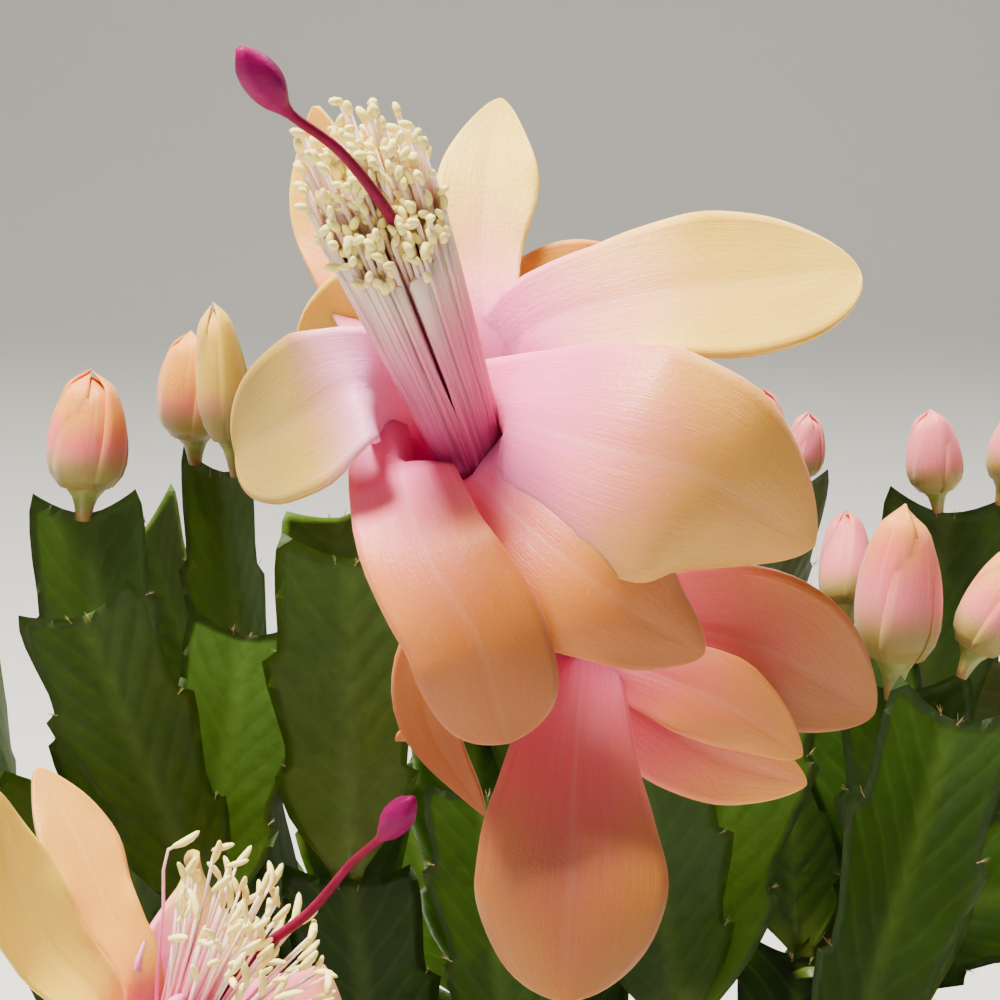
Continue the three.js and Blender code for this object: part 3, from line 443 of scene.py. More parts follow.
def facing_for(start, end):
    middle = (start + end) * 0.5
    near = np.clip((FRONT_HALF - abs(middle[0])) / FRONT_HALF_FADE, 0, 1)
    near = near * np.clip((FRONT_BACK - middle[1]) / FRONT_BACK_FADE, 0, 1)
    outward = unit(vec(middle[0], middle[1], 0))
    return outward * (1 - near) + FRONT * near + UPTURN


segments = []
forks = {}
for stem, (name, width, joints) in enumerate(PLACED):
    joints = [vec(*joint) for joint in joints]
    spans = [(k - 1, joints[k], joints[k + 1]) for k in range(len(joints) - 1)]
    if name in FORKS:
        spans.append((FORK_JOINT - 1, joints[FORK_JOINT], vec(*FORKS[name])))
    chain = []
    for parent, start, end in spans:
        parent = chain[parent] if parent >= 0 else None
        facing = facing_for(start, end)
        chain.append(Segment(stem, parent, start, end, facing, width, PLACED_BULGE, PLACED_TWIST))
        if parent:
            parent.children += 1
    chain[len(joints) - 2].last = True
    forks[name] = chain[-1]
    segments += chain


def last_segment(name):
    return next(s for s in segments if s.last and STEM_NAMES[s.stem] == name)


print("placed segments:", len(segments))

# %% [markdown]
# ## Where blooms and buds sit
#
# Each bloom is drawn once as it looks from the front, with x to the right, y up and z to the
# onlooker, measured from its throat. It is then turned and moved to the tip of its stem. A bloom
# or a bud sits just off the notch at the tip of a segment.

# %% Blooms and buds on their tips
BLOOM_AXIS = unit(vec(-0.393, 0.697, 0.6))
BLOOM_UPPER = unit(vec(0, 0, -1) + BLOOM_AXIS * BLOOM_AXIS[2])
BLOOM_MIDDLE = vec(3, -8, -4)
ONLOOKER = vec(0, 0, 1)
TUBE_LENGTH = 42
BLOOM_GAP = 0.75
BUD_GAP = 0.7
# The tip's edge rises from the notch to the horns.
NOTCH_PLACE = 0.95
HORN_RISE = 0.064
# Name, stem, axis, upper side and size.
BLOOMS = [
    ("front", "front", vec(-0.393, -0.442, 0.806), vec(-0.295, 0.891, 0.345), 1.0),
    ("front_left", "front_left", vec(0.445, -0.314, 0.838), vec(-0.911, 0.031, 0.411), 0.94),
    ("right", "right_side", vec(0.88, -0.1, 0.45), vec(-0.4, 0, 0.9), 0.92),
    ("back", "back", vec(0.15, 0.9, 0.4), vec(0, -0.4, 0.9), 0.92),
]


def seat(segment, u, gap):
    """A place off the edge of a segment's tip."""
    return segment.at(NOTCH_PLACE + HORN_RISE * abs(u), u) + segment.direction * gap


class BloomPlace:
    """Turns a bloom's own drawing to its tip on the plant."""

    def __init__(self, stem, axis, upper, scale):
        self.turn = basis(axis, upper) @ basis(BLOOM_AXIS, BLOOM_UPPER).T
        self.scale = scale
        foot = seat(last_segment(stem), 0, BLOOM_GAP)
        self.throat = foot + unit(axis) * TUBE_LENGTH * scale
        self.centre = self.put(BLOOM_MIDDLE)
        last_segment(stem).taken = True

    def put(self, points):
        return points * self.scale @ self.turn.T + self.throat

    def of(self, shape):
        """The shape of a piece in the drawing, put on the plant."""
        return lambda points: self.put(shape(points))


@dataclass
class Bud:
    """A bud's foot, the way it points, its size and how far it bows upward."""

    foot: np.ndarray
    direction: np.ndarray
    length: float
    radius: float
    bow: float

    def middle(self):
        return self.foot + self.direction * self.length * 0.5


bloom_places = {name: BloomPlace(*rest) for name, *rest in BLOOMS}
# Stem, place across the tip, length, radius and lean to the right.
PLACED_BUDS = [
    ("left_tall", 0, 15, 4, 0.16),
    ("left_inner", -0.5, 14, 3.7, 0.1),
    ("left_inner", 0.45, 18, 2.7, 0),
    ("right_tall", -0.15, 10.5, 2.8, -0.2),
    ("right_tall", 0.7, 11, 2.6, 0.15),
    ("right_inner", 0.1, 8.5, 2.1, -0.1),
    ("right_inner", -0.75, 10, 2.2, -0.25),
    ("right_low", -0.15, 18, 3.9, 0.1),
    ("right_low", 0.8, 13, 3, 0.5),
]
buds = []


def add_bud(segment, u, length, radius, lean, bow):
    way = unit(segment.direction + lean)
    buds.append(Bud(seat(segment, u, BUD_GAP), way, length, radius, bow))
    segment.taken = True


for name, across, length, radius, lean in PLACED_BUDS:
    add_bud(last_segment(name), across, length, radius, vec(lean, 0, 0), 0)
add_bud(forks["right_low"], 0, 11, 2.7, vec(0.15, 0, 0), 0.1)
print("blooms:", len(bloom_places), "placed buds:", len(buds))

# %% [markdown]
# ## Filling growth
#
# The rest of the plant fills itself in. New segments start from the joints, outward and lower with
# each step, and one is kept only where it has room: under the dome of the plant, off the blooms,
# buds and pot, and clear of the other segments.

# %% Room for a segment
CANOPY_TOP = 211
CANOPY_REACH = 138
CANOPY_DROP = 45
LOWEST_TIP = 116
POT_RIM_RADIUS = 65
POT_HEIGHT = 108
RIM_ROOM = 8
# No filling segment stands nearer and higher than this in front, where it would hide the blooms.
VIEW_DEPTH = -28
VIEW_FLOOR = 150
BLOOM_ROOM = 34
BUD_ROOM = 3
STEM_CLEARANCE = 5.2
OWN_CLEARANCE = 4.16
JOINT_ROOM = 16
NEIGHBOUR_RANGE = 62


def gap(points, others):
    """The least distance between two sets of points."""
    others = np.atleast_2d(others)
    return np.linalg.norm(points[:, None] - others[None], axis=2).min()


def is_clear(candidate):
    points = candidate.samples
    x, y, z = points.T
    reach = np.hypot(x, y)
    dome = CANOPY_TOP - CANOPY_DROP * (reach / CANOPY_REACH) ** 2
    in_front = (y < VIEW_DEPTH) & (np.abs(x) < FRONT_HALF) & (z > VIEW_FLOOR)
    at_rim = (reach < POT_RIM_RADIUS + RIM_ROOM) & (z < POT_HEIGHT + RIM_ROOM)
    if ((z > dome) | (z < LOWEST_TIP) | (reach > CANOPY_REACH) | in_front | at_rim).any():
        return False
    if any(gap(points, b.centre) < BLOOM_ROOM * b.scale for b in bloom_places.values()):
        return False
    if any(gap(points, bud.middle()) < bud.length * 0.5 + BUD_ROOM for bud in buds):
        return False
    for other in segments:
        apart = np.linalg.norm(candidate.middle - other.middle)
        if other is candidate.parent or apart > NEIGHBOUR_RANGE:
            continue
        checked, near = points, STEM_CLEARANCE
        if other.stem == candidate.stem:
            off_joint = np.linalg.norm(points - candidate.start, axis=1) >= JOINT_ROOM
            checked, near = points[off_joint], OWN_CLEARANCE
        if len(checked) and gap(checked, other.samples) < near:
            return False
    return True


# %% [markdown]
# A new segment turns to a random side of the way outward. The first ones stand up and later ones
# arch over the rim, so the rise falls from step to step. Where a stem only goes on, the segment
# keeps to its parent's flat, and where it forks, the segment starts beside the first one.

# %% Grow the filling segments
FILLER_SEGMENTS = 32
GROWTH_ROUNDS = 6
ATTEMPTS = 24
TURN_SPREAD = 0.9
FIRST_RISE, LAST_RISE, RISE_SPREAD = 55, -50, 22
LAST_LEVEL = 4
# The level that a placed segment counts as, for a low and a high tip, and what height is high.
LOW_LEVEL, HIGH_LEVEL, HIGH_TIP = 1, 2.5, 190
LENGTH, LENGTH_SPREAD = 42, 6
WIDTH, WIDTH_SPREAD = 19, 2.5
BULGE, BULGE_MORE = 1, 2
TWIST_SPREAD = 0.5
TILT_SPREAD, TILT_UP = 0.45, 0.3
FORK_PLACE, FORK_SPREAD = 0.96, 0.35
FLATTENING = 0.75
LEAST_AHEAD = 0.3
GROWN_BUDS = 9
BUD_SPOT = 9
BUD_CLEARANCE = 6.5
BUD_LENGTHS = (9, 16)
BUD_RADII = (2.2, 3.2)
BUD_LEAN = vec(0, 0, 0.25)
BUD_BOW = 0.1


def grow_from(parent):
    level = parent.level
    if level is None:
        level = HIGH_LEVEL if parent.end[2] > HIGH_TIP else LOW_LEVEL
    for attempt in range(ATTEMPTS):
        azimuth = math.atan2(parent.end[1], parent.end[0]) + dice.spread(TURN_SPREAD)
        rise = mix(FIRST_RISE, LAST_RISE, min(level / LAST_LEVEL, 1)) + dice.spread(RISE_SPREAD)
        elevation = math.radians(rise)
        length = LENGTH + dice.spread(LENGTH_SPREAD)
        flat = math.cos(elevation)
        direction = vec(math.cos(azimuth) * flat, math.sin(azimuth) * flat, math.sin(elevation))
        start = parent.end
        if parent.children:
            start = parent.at(FORK_PLACE, dice.spread(FORK_SPREAD))
        else:
            direction = unit(direction - parent.side * FLATTENING * direction.dot(parent.side))
        tilt = [dice.spread(TILT_SPREAD), dice.spread(TILT_SPREAD), TILT_UP + dice.spread(TILT_UP)]
        facing = parent.face + vec(*tilt)
        width = WIDTH + dice.spread(WIDTH_SPREAD)
        bulge = BULGE + dice.roll() * BULGE_MORE
        twist = dice.spread(TWIST_SPREAD)
        end = start + direction * length
        candidate = Segment(parent.stem, parent, start, end, facing, width, bulge, twist, level + 1)
        if parent.direction.dot(direction) > LEAST_AHEAD and is_clear(candidate):
            return candidate
    return None


dice = Dice(20)
grown = 0
for growth_round in range(GROWTH_ROUNDS):
    for parent in list(segments):
        if grown >= FILLER_SEGMENTS or parent.taken or parent.children > 1:
            continue
        child = grow_from(parent)
        if child:
            parent.children += 1
            segments.append(child)
            grown += 1


def is_free_tip(segment):
    """Whether a grown segment ends free, with room for a bud."""
    if not segment.level or segment.children or segment.taken:
        return False
    spot = seat(segment, 0, BUD_SPOT)
    for bloom in bloom_places.values():
        if np.linalg.norm(bloom.centre - spot) <= BLOOM_ROOM * bloom.scale + BUD_CLEARANCE:
            return False
    return all(gap(s.samples, spot) > BUD_CLEARANCE for s in segments if s is not segment)


free_tips = [s for s in segments if is_free_tip(s)]
for segment in free_tips[::2][:GROWN_BUDS]:
    add_bud(segment, 0, dice.roll(*BUD_LENGTHS), dice.roll(*BUD_RADII), BUD_LEAN, BUD_BOW)
solid_middles = [np.mean(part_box(f"bud_{i + 1:02d}"), axis=0) for i in range(len(buds))]
off = max(np.abs(bud.middle() * MM - solid).max() for bud, solid in zip(buds, solid_middles))
print("segments:", len(segments), "buds:", len(buds), "off the solids by", round(off / MM, 2), "mm")

# %% [markdown]
# ## Shapes that are made once and fitted many times
#
# Nearly a hundred segments, over five hundred stamens and some hundred and fifty petals would be
# slow to model one by one. Each kind is made once as a small flat, straight or spun master, with
# ordinary modelling steps, and a copy of it is then laid along its own line on the plant.
# Instances would be lighter, but they can't bend, and an exporter drops them.


# %% Masters
def on_grid(co):
    return (co.x * 0.5 + 0.5, co.y * 0.5 + 0.5)


def on_rod(co):
    return (math.atan2(co.y, co.x) / math.tau + 0.5, co.z)


def on_spot(co):
    return (0.5, 0.5)


def master_mesh(name, bm, place_of):
    """Keeps a modelled shape as a master, with its place across and along as a map."""
    lie = bm.loops.layers.uv.new("lie")
    bm.verts.layers.float_color.new("tone")
    for face in bm.faces:
        face.smooth = True
        for loop in face.loops:
            loop[lie].uv = place_of(loop.vert.co)
    master = keep(name, bm)
    print("master", name + ":", len(master.polygons), "faces")
    return master


def sheet_master(name, columns, rows, place_of=on_grid):
    """A flat grid, from -1 to 1 both ways."""
    grid = bmesh.new()
    bmesh.ops.create_grid(grid, x_segments=columns, y_segments=rows, size=1.0)
    return master_mesh(name, grid, place_of)


def rod_master(name, sides, rings):
    """A straight rod, one long and one in radius, drawn out ring by ring."""
    rod = bmesh.new()
    bmesh.ops.create_circle(rod, cap_ends=True, radius=1.0, segments=sides)
    edges = rod.edges[:]
    for step in range(rings):
        fresh = bmesh.ops.extrude_edge_only(rod, edges=edges)["geom"]
        ring = [item for item in fresh if isinstance(item, bmesh.types.BMVert)]
        edges = [item for item in fresh if isinstance(item, bmesh.types.BMEdge)]
        edges = [edge for edge in edges if all(v in ring for v in edge.verts)]
        bmesh.ops.translate(rod, verts=ring, vec=(0, 0, 1 / rings))
    bmesh.ops.contextual_create(rod, geom=edges)
    bmesh.ops.recalc_face_normals(rod, faces=rod.faces[:])
    return master_mesh(name, rod, on_rod)


def spun(profile, steps, close=1e-4, long_edges=(), cuts=10):
    """A drawn half profile of radii and heights, spun round the upright axis."""
    bm = bmesh.new()
    line = [bm.verts.new((radius, 0, height)) for radius, height in profile]
    edges = [bm.edges.new(pair) for pair in zip(line, line[1:])]
    if long_edges:
        bmesh.ops.subdivide_edges(bm, edges=[edges[k] for k in long_edges], cuts=cuts)
    bmesh.ops.spin(bm, geom=bm.verts[:] + bm.edges[:], cent=(0, 0, 0), axis=(0, 0, 1),
                   angle=math.tau, steps=steps, use_merge=True)
    bmesh.ops.remove_doubles(bm, verts=bm.verts[:], dist=close)
    bmesh.ops.recalc_face_normals(bm, faces=bm.faces[:])
    return bm


stick_master = rod_master("stick", 8, 6)

# %% [markdown]
# A piece gathers its copies in one mesh. Each copy is moved point by point by a shape, which is a
# function from the master to the plant, and carries the tones that its finish reads.


# %% Pieces and how they are fitted
class Piece:
    """A piece of the plant, put together from masters and fitted in millimetres."""

    def __init__(self, name, materials):
        self.name = name
        self.materials = materials
        self.bm = bmesh.new()

    def fit(self, master, shape, tone=(0.0, 0.0, 0.0, 0.0), material=0, flip=False):
        """Adds a copy of a master with each point moved by shape."""
        first, first_face = len(self.bm.verts), len(self.bm.faces)
        self.bm.from_mesh(master)
        self.bm.verts.ensure_lookup_table()
        self.bm.faces.ensure_lookup_table()
        fresh, faces = self.bm.verts[first:], self.bm.faces[first_face:]
        points = np.array([v.co for v in fresh], dtype=float)
        tones = tone(points) if callable(tone) else [tone] * len(fresh)
        layer = self.bm.verts.layers.float_color["tone"]
        for vert, place, shade in zip(fresh, shape(points) * MM, tones):
            vert.co = place
            vert[layer] = shade
        for face in faces:
            face.material_index = material
        if flip:
            bmesh.ops.reverse_faces(self.bm, faces=faces)

    def done(self, node, thickness=None):
        """Turns the shape into an object that stands for the node."""
        piece = link(self.name, keep(self.name, self.bm))
        for finish in self.materials:
            piece.data.materials.append(finish.material)
        if thickness:
            wall = piece.modifiers.new("wall", "SOLIDIFY")
            wall.thickness = thickness * MM
            wall.offset = -1.0
        stands_for(piece, node)


def stands_for(piece, node):
    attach(piece, "root")
    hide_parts(node)
    print(piece.name + ":", len(piece.data.polygons), "faces")


def sweep(line, radii, hint):
    """Lays a straight master with round rings, one long, along a smooth line."""
    def shape(points):
        v = np.clip(points[:, 2], 0, 1)
        ahead = heading(line, v)
        x = unit(np.cross(hint, ahead))
        y = np.cross(ahead, x)
        radius = along(radii, v)[:, None]
        return along(line, v) + (x * points[:, :1] + y * points[:, 1:2]) * radius
    return shape


# %% [markdown]
# ## The leafy stems
#
# A segment is a thin blade with a thick rib along its middle, two soft teeth on each edge and two
# horns at the tip. The master starts from a flat grid, which gets a second face. Its rows are then
# moved to the places of the teeth, and both faces swell towards the rib.

# %% The blade of a segment
# Place on the rib, place on the edge and half width of each row, from the base to the horns.
BLADE_ROWS = [
    (-0.06, -0.06, 0.17), (-0.01, -0.01, 0.22), (0.04, 0.045, 0.36), (0.10, 0.115, 0.55),
    (0.17, 0.19, 0.71), (0.235, 0.265, 0.81), (0.28, 0.33, 0.87), (0.315, 0.338, 0.80),
    (0.345, 0.352, 0.725), (0.41, 0.425, 0.745), (0.49, 0.515, 0.85), (0.56, 0.595, 0.95),
    (0.61, 0.665, 1.01), (0.65, 0.678, 0.93), (0.685, 0.695, 0.835), (0.74, 0.755, 0.83),
    (0.81, 0.84, 0.86), (0.87, 0.91, 0.875), (0.915, 0.965, 0.86), (0.945, 1.01, 0.79),
]
BLADE_COLUMNS = 10
# Shares of the thickness: at the edge, in the flesh and on the rib.
EDGE_SHARE, FLESH_SHARE, RIB_SHARE = 0.2, 0.42, 0.38

last_row = len(BLADE_ROWS) - 1
blade = bmesh.new()
bmesh.ops.create_grid(blade, x_segments=BLADE_COLUMNS, y_segments=last_row, size=1.0)
bmesh.ops.solidify(blade, geom=blade.faces[:], thickness=0.5)
bmesh.ops.recalc_face_normals(blade, faces=blade.faces[:])
top = max(v.co.z for v in blade.verts)
for vert in blade.verts:
    u = vert.co.x
    rib, edge, half = BLADE_ROWS[round((vert.co.y + 1) / 2 * last_row)]
    layer = 1.0 if vert.co.z > top / 2 else -1.0
    spread = abs(u) ** 0.8
    swell = EDGE_SHARE + FLESH_SHARE * (1 - u * u) + RIB_SHARE * math.exp(-((u / 0.2) ** 2))
    vert.co = (math.copysign(spread, u) * half, mix(rib, edge, spread ** 1.6), layer * swell)
blade_master = master_mesh("blade", blade, lambda co: (co.x * 0.5 + 0.5, co.y))

spine = bmesh.new()
bmesh.ops.create_cone(spine, cap_ends=True, segments=3, radius1=1.0, radius2=0.25, depth=1.0)
bmesh.ops.translate(spine, verts=spine.verts[:], vec=(0, 0, 0.5))
spine_master = master_mesh("spine", spine, lambda co: (0.5, co.z))

# %% [markdown]
# The skin of a segment is waxy and satin. Its green is mottled, paler along the rib and at the
# base, and young segments are lighter than old ones. The same tone carries painted light: segments
# on the left of the plant are painted lighter and those on the right darker, as painted shade.
# Faint side veins leave the rib. Old wood shows at the foot of each stem.

# %% Leaf, wood and bristle finishes
leaf = Finish("waxy_green_skin", 0.4, subsurface_weight=0.08, subsurface_scale=0.003,
              specular_ior_level=0.22)
_, across, lengthwise = leaf.leaf_place()
spot = leaf.body_place()
youth_and_side_light, wood = leaf.tones()[:2]
mottle = leaf.noise(spot, 70.0, 4.0)
fine = leaf.noise(spot, 600.0, 3.0)
off_rib = leaf.off_rib(across)
vein_place = leaf.plus(leaf.times(lengthwise, 62.0), leaf.times(off_rib, -40.0))
veins = leaf.math("SINE", leaf.plus(vein_place, leaf.times(mottle, 9.0)))
leaf.paint(
    "#0e2001",
    (leaf.ramp(mottle, 0.3, 0.7), "#1d3602"),
    # Young tips are lighter green, and so is the left side of the plant as painted light.
    (leaf.times(youth_and_side_light, 0.75), "#4b6e1d"),
    (leaf.ramp(veins, 0.55, 1.0, 0.0, 0.07), "#5f7f30"),
    (leaf.ramp(off_rib, 0.0, 0.1, 0.26, 0.0), "#5c7c2c"),
    (leaf.ramp(lengthwise, 0.0, 0.16, 0.4, 0.0), "#6d7f2c"),
    (leaf.ramp(off_rib, 0.4, 0.5, 0.0, 0.2), "#4c4a16"),
    (leaf.times(wood, leaf.ramp(fine, 0.3, 0.6)), "#7a5f40"),
    (leaf.ramp(fine, 0.35, 0.75, 0.0, 0.2), "#142801"),
)
leaf.join(leaf.ramp(mottle, 0.3, 0.8, 0.36, 0.52), "Roughness")
leaf.relief(leaf.plus(fine, leaf.times(veins, 0.25)), 0.00012, 0.6)

bark = grained("old_woody_stem", 0.85, "#4a3524", "#9a7f5b", 520.0, 5.0, 0.7, depth=0.0006,
               stretch=(1, 1, 0.25), edges=(0.3, 0.7))
bristle = grained("pale_bristle", 0.6, "#6d5a30", "#a08c58", 300.0, 2.0)
print("finishes:", leaf.material.name, bark.material.name, bristle.material.name)

# %% [markdown]
# Real segments differ: the teeth on one side sit higher, the blade folds a little along its rib
# and its edges wave. All that is done while a copy is laid on its segment. Each notch between two
# teeth gets a tuft of short bristles, and each stem stands on a woody foot.

# %% Build the leafy stems
HALF_THICKNESS = 1.5
BASE_SHARE, TIP_SHARE = 1.2, 0.7
EDGE_WAVES = 1.3
WOOD_FADE = 2.2
# How far the teeth, the fold and the waves of a segment may differ.
SKEW, FOLD, WAVE = 0.045, 1.5, 0.7
STUB_BOTTOM = 81
STUB_TOP = 7
STUB_RADII = [3.4, 3.0, 1.6]
NOTCHES = [(0.35, 0.73), (0.35, -0.73), (0.69, 0.835), (0.69, -0.835), (0.945, 0.1), (0.945, -0.15)]
BRISTLES = 4
BRISTLE_RADII = [0.05, 0.04, 0.015]
BRISTLE_LENGTHS = (0.5, 1.1)
BRISTLE_SPREAD = 0.5
# Tips are younger. The left side of the plant, which faces the light, is painted lighter, and the
# right side darker as painted shade.
MOST_YOUTH = 0.35
TIP_YOUTH = 0.35
SIDE_LIGHT_FALL = 180
tuft_dice = Dice(5)


def on_segment(segment, skew, fold, wave, phase):
    def shape(points):
        u, v, w = points.T
        inner = np.clip(v, 0, 1)
        v = v + skew * u * np.sin(np.pi * inner)
        thick = HALF_THICKNESS * mix(BASE_SHARE, TIP_SHARE, inner)
        edge_wave = wave * u * np.abs(u) * np.sin(2 * np.pi * (EDGE_WAVES * v + phase))
        lift = fold * np.abs(u) ** 1.5 + edge_wave
        return segment.at(v, u, w * thick + lift * np.sin(np.pi * np.clip(v, 0, 0.9)))
    return shape


def blade_tones(youth_and_side_light, is_first):
    """Youth and painted side light all over, and wood at the base of a stem's first segment."""
    def tones(points):
        wood = np.clip(1 - points[:, 1] * WOOD_FADE, 0, 1) * is_first
        none = np.zeros_like(wood)
        return np.column_stack([none + youth_and_side_light, wood, none, none])
    return tones


def add_tuft(piece, segment, v, u):
    """A few short bristles that lean out of a notch."""
    root = segment.at(v, u)
    outward = unit(segment.side * u + segment.direction * 0.7)
    for k in range(BRISTLES):
        way = unit(outward + tuft_dice.push(BRISTLE_SPREAD))
        reach = way * tuft_dice.roll(*BRISTLE_LENGTHS)
        line = [root - reach * 0.3, root + reach * 0.4, root + reach]
        piece.fit(spine_master, sweep(line, BRISTLE_RADII, segment.face), material=2)


for stem, (name, _, joints) in enumerate(PLACED):
    piece = Piece(f"stem_{name}_blades", [leaf, bark, bristle])
    for segment in (s for s in segments if s.stem == stem):
        skew, fold, wave = (tuft_dice.spread(amount) for amount in (SKEW, FOLD, WAVE))
        phase = tuft_dice.roll()
        youth_and_side_light = tuft_dice.roll(0.0, MOST_YOUTH) + (0.0 if segment.children else TIP_YOUTH)
        # Painted light: the tone falls from left to right across the plant, so right-hand segments
        # are painted darker.
        youth_and_side_light = min(max(youth_and_side_light - joints[-1][0] / SIDE_LIGHT_FALL, 0.0), 1.0)
        lay = on_segment(segment, skew, fold, wave, phase)
        piece.fit(blade_master, lay, blade_tones(youth_and_side_light, segment.parent is None))
        for v, u in NOTCHES:
            add_tuft(piece, segment, v + skew * u, u)
    x, y, z = joints[0]
    foot_line = [vec(x, y, STUB_BOTTOM), vec(x, y, z), vec(x, y, z + STUB_TOP)]
    piece.fit(stick_master, sweep(foot_line, STUB_RADII, vec(0, 1, 0)), material=1)
    piece.done(f"stem_{name}")

# %% [markdown]
# ## Petals
#
# A petal is thinner than a coin, broad in the middle and waisted where it leaves the tube. Petals
# sit in two tiers: the upper ones fold back around the throat, and the lower ones spread from
# halfway down the tube. Each petal has a line through its middle, half widths along it, a curl
# across and four tones.


# %% The petals of a bloom
@dataclass
class Petal:
    """Middle line, half widths, bluntness of the tip, curl across and roll about the line in
    degrees, and tones: how orange the tip is, how far the pink reaches, how green the petal is and
    how much painted shade darkens it towards the tip. Only the largest bloom has the spare ones."""

    name: str
    line: tuple
    half: tuple
    tip: float
    curl: float
    tone: tuple
    spare: bool = False
    roll: float = 0.0


UPPER_PETALS = [
    Petal("top", ((3, 8, -4), (2.5, 15, -7), (3, 22, -10), (4, 29, -14)),
          (2.6, 3.4, 5.4, 4.2), 3, 12, (0.1, 0.62, 0.15, 0.0)),
    Petal("top_left", ((-4.2, 6, -5), (-7.5, 12.8, -9), (-10.3, 20.5, -11), (-12, 27.8, -11)),
          (3.2, 4, 5, 2.6), 3, 12, (0.4, 0.7, 0.0, 0.0)),
    Petal("left_back", ((-2.2, 6.5, -4), (-6.2, 10.2, -5.5), (-10, 7.2, -9), (-13, 1, -12)),
          (3, 4, 4.6, 3.6), 3, 10, (0.0, 0.22, 1.0, 0.0), True),
    Petal("left", ((-3.5, 1.4, -2.5), (-7, 3.2, 4.8), (-11.5, 1, 2.4), (-18.5, -2, -9)),
          (3.6, 4.8, 6.6, 5.5), 12, 20, (0.1, 0.75, 0.85, 0.6), roll=18),
    Petal("bottom_left", ((-4.2, -2.5, 1), (-2, -9.5, 10), (2.2, -16.5, 12), (4.6, -24.6, 9)),
          (4, 5.2, 5.6, 5.4), 14, -20, (0.85, 0.64, 0.0, 0.85)),
    Petal("bottom_right", ((1.8, -3.8, 2), (7.2, -9, 9), (13, -13.5, 10), (20, -18, 5)),
          (5, 7.2, 6.4, 4.2), 5, -15, (0.85, 0.58, 0.0, 0.75)),
    Petal("right_front", ((4, 0.5, 2), (12, -2, 11), (20.5, -4.5, 11), (29, -9.5, 3)),
          (5.6, 9.4, 9.8, 7.8), 4, -25, (0.45, 0.75, 0.25, 0.5)),
    Petal("right", ((5.5, 7.5, -3), (14.5, 10.6, -1), (24, 12, -3), (34.3, 13.8, -9)),
          (4, 5.8, 7.4, 7.2), 5, 10, (0.15, 0.62, 0.15, 0.1), roll=-25),
    Petal("right_back", ((4, 8, -6), (8, 11.6, -9), (12.5, 13.1, -12), (18, 12.6, -15)),
          (3, 4, 4.2, 3), 3, 8, (0.6, 0.3, 0.0, 0.0), True),
]
LOWER_PETALS = [
    Petal("low_bottom", ((11, -19, -10), (10, -27.5, 0), (9.5, -36, 5), (9, -45.4, 5)),
          (2.8, 6.2, 8.4, 8.2), 7, -30, (0.55, 0.9, 0.0, 0.85)),
    Petal("low_right_front", ((12, -19, -10), (17, -20.5, -7), (23, -23, -6), (29.5, -27.5, -9)),
          (2.5, 3.4, 4.4, 3.4), 4, -10, (0.75, 0.85, 0.0, 0.3), True),
    Petal("low_right", ((12, -18, -13), (20.5, -17, -9), (28.5, -19.5, -9), (36.5, -24.5, -15)),
          (2.5, 6, 8.2, 7.5), 3, 8, (0.75, 0.9, 0.1, 0.75)),
    Petal("low_right_under", ((12, -20.5, -13), (17.5, -24.5, -11), (23.5, -28, -11),
                              (30.5, -30.5, -14)),
          (2.5, 5, 4.8, 3.4), 4, -8, (0.6, 1.0, 0.0, 0.0), True),
    Petal("low_left", ((8.5, -18, -12), (0.5, -16.5, -14), (-2.5, -24.5, -16), (2.5, -33.5, -17)),
          (2.5, 3.4, 3.2, 1.6), 4, 10, (0.85, 0.6, 0.0, 1.0)),
    Petal("low_left_back", ((8, -18.5, -15), (2.5, -22.5, -17), (-2, -25.5, -19),
                            (-5.5, -27.5, -22)),
          (2, 3, 2.4, 1.2), 3, 5, (0.8, 0.6, 0.0, 0.8), True),
    Petal("low_back", ((12, -16, -18), (17, -11.5, -24), (22, -8, -30), (27, -6, -36)),
          (2.5, 5, 5.5, 4), 3, 8, (0.6, 0.8, 0.0, 0.2)),
    Petal("low_back_left", ((9.5, -15.5, -18), (6, -11.5, -26), (4, -6, -34), (3, 0, -40)),
          (2.5, 4.5, 5, 3.5), 3, 8, (0.6, 0.8, 0.0, 0.2), True),
]
# Height on the tube, distance from its axis and half width of the roots, and the petals.
TIERS = [((-5, 4.4, 2.7), UPPER_PETALS), ((-25, 2.6, 1.5), LOWER_PETALS)]
print("petals:", len(UPPER_PETALS), "in the upper tier and", len(LOWER_PETALS), "in the lower one")

# %% [markdown]
# The master of a petal is a flat grid, which its line, widths and curl bend into place. A channel
# runs along the middle, and the edges wave with a fine crimp on top. The grid gets its wall last,
# from a Solidify modifier. Cloth simulation would give softer folds, but not the same ones twice.

# %% Bend a petal
LEAST_HALF = 0.12
CHANNEL_DEPTH, CHANNEL_HALF = 0.16, 0.16
# Waves along the edge and how far they shift over the rib, for the crest and the finer crimp.
CREST_WAVES, CREST_SHIFT = 1.7, 0.3
CRIMP_WAVES, CRIMP_SHIFT, CRIMP_SHARE = 5.3, 0.2, 0.35


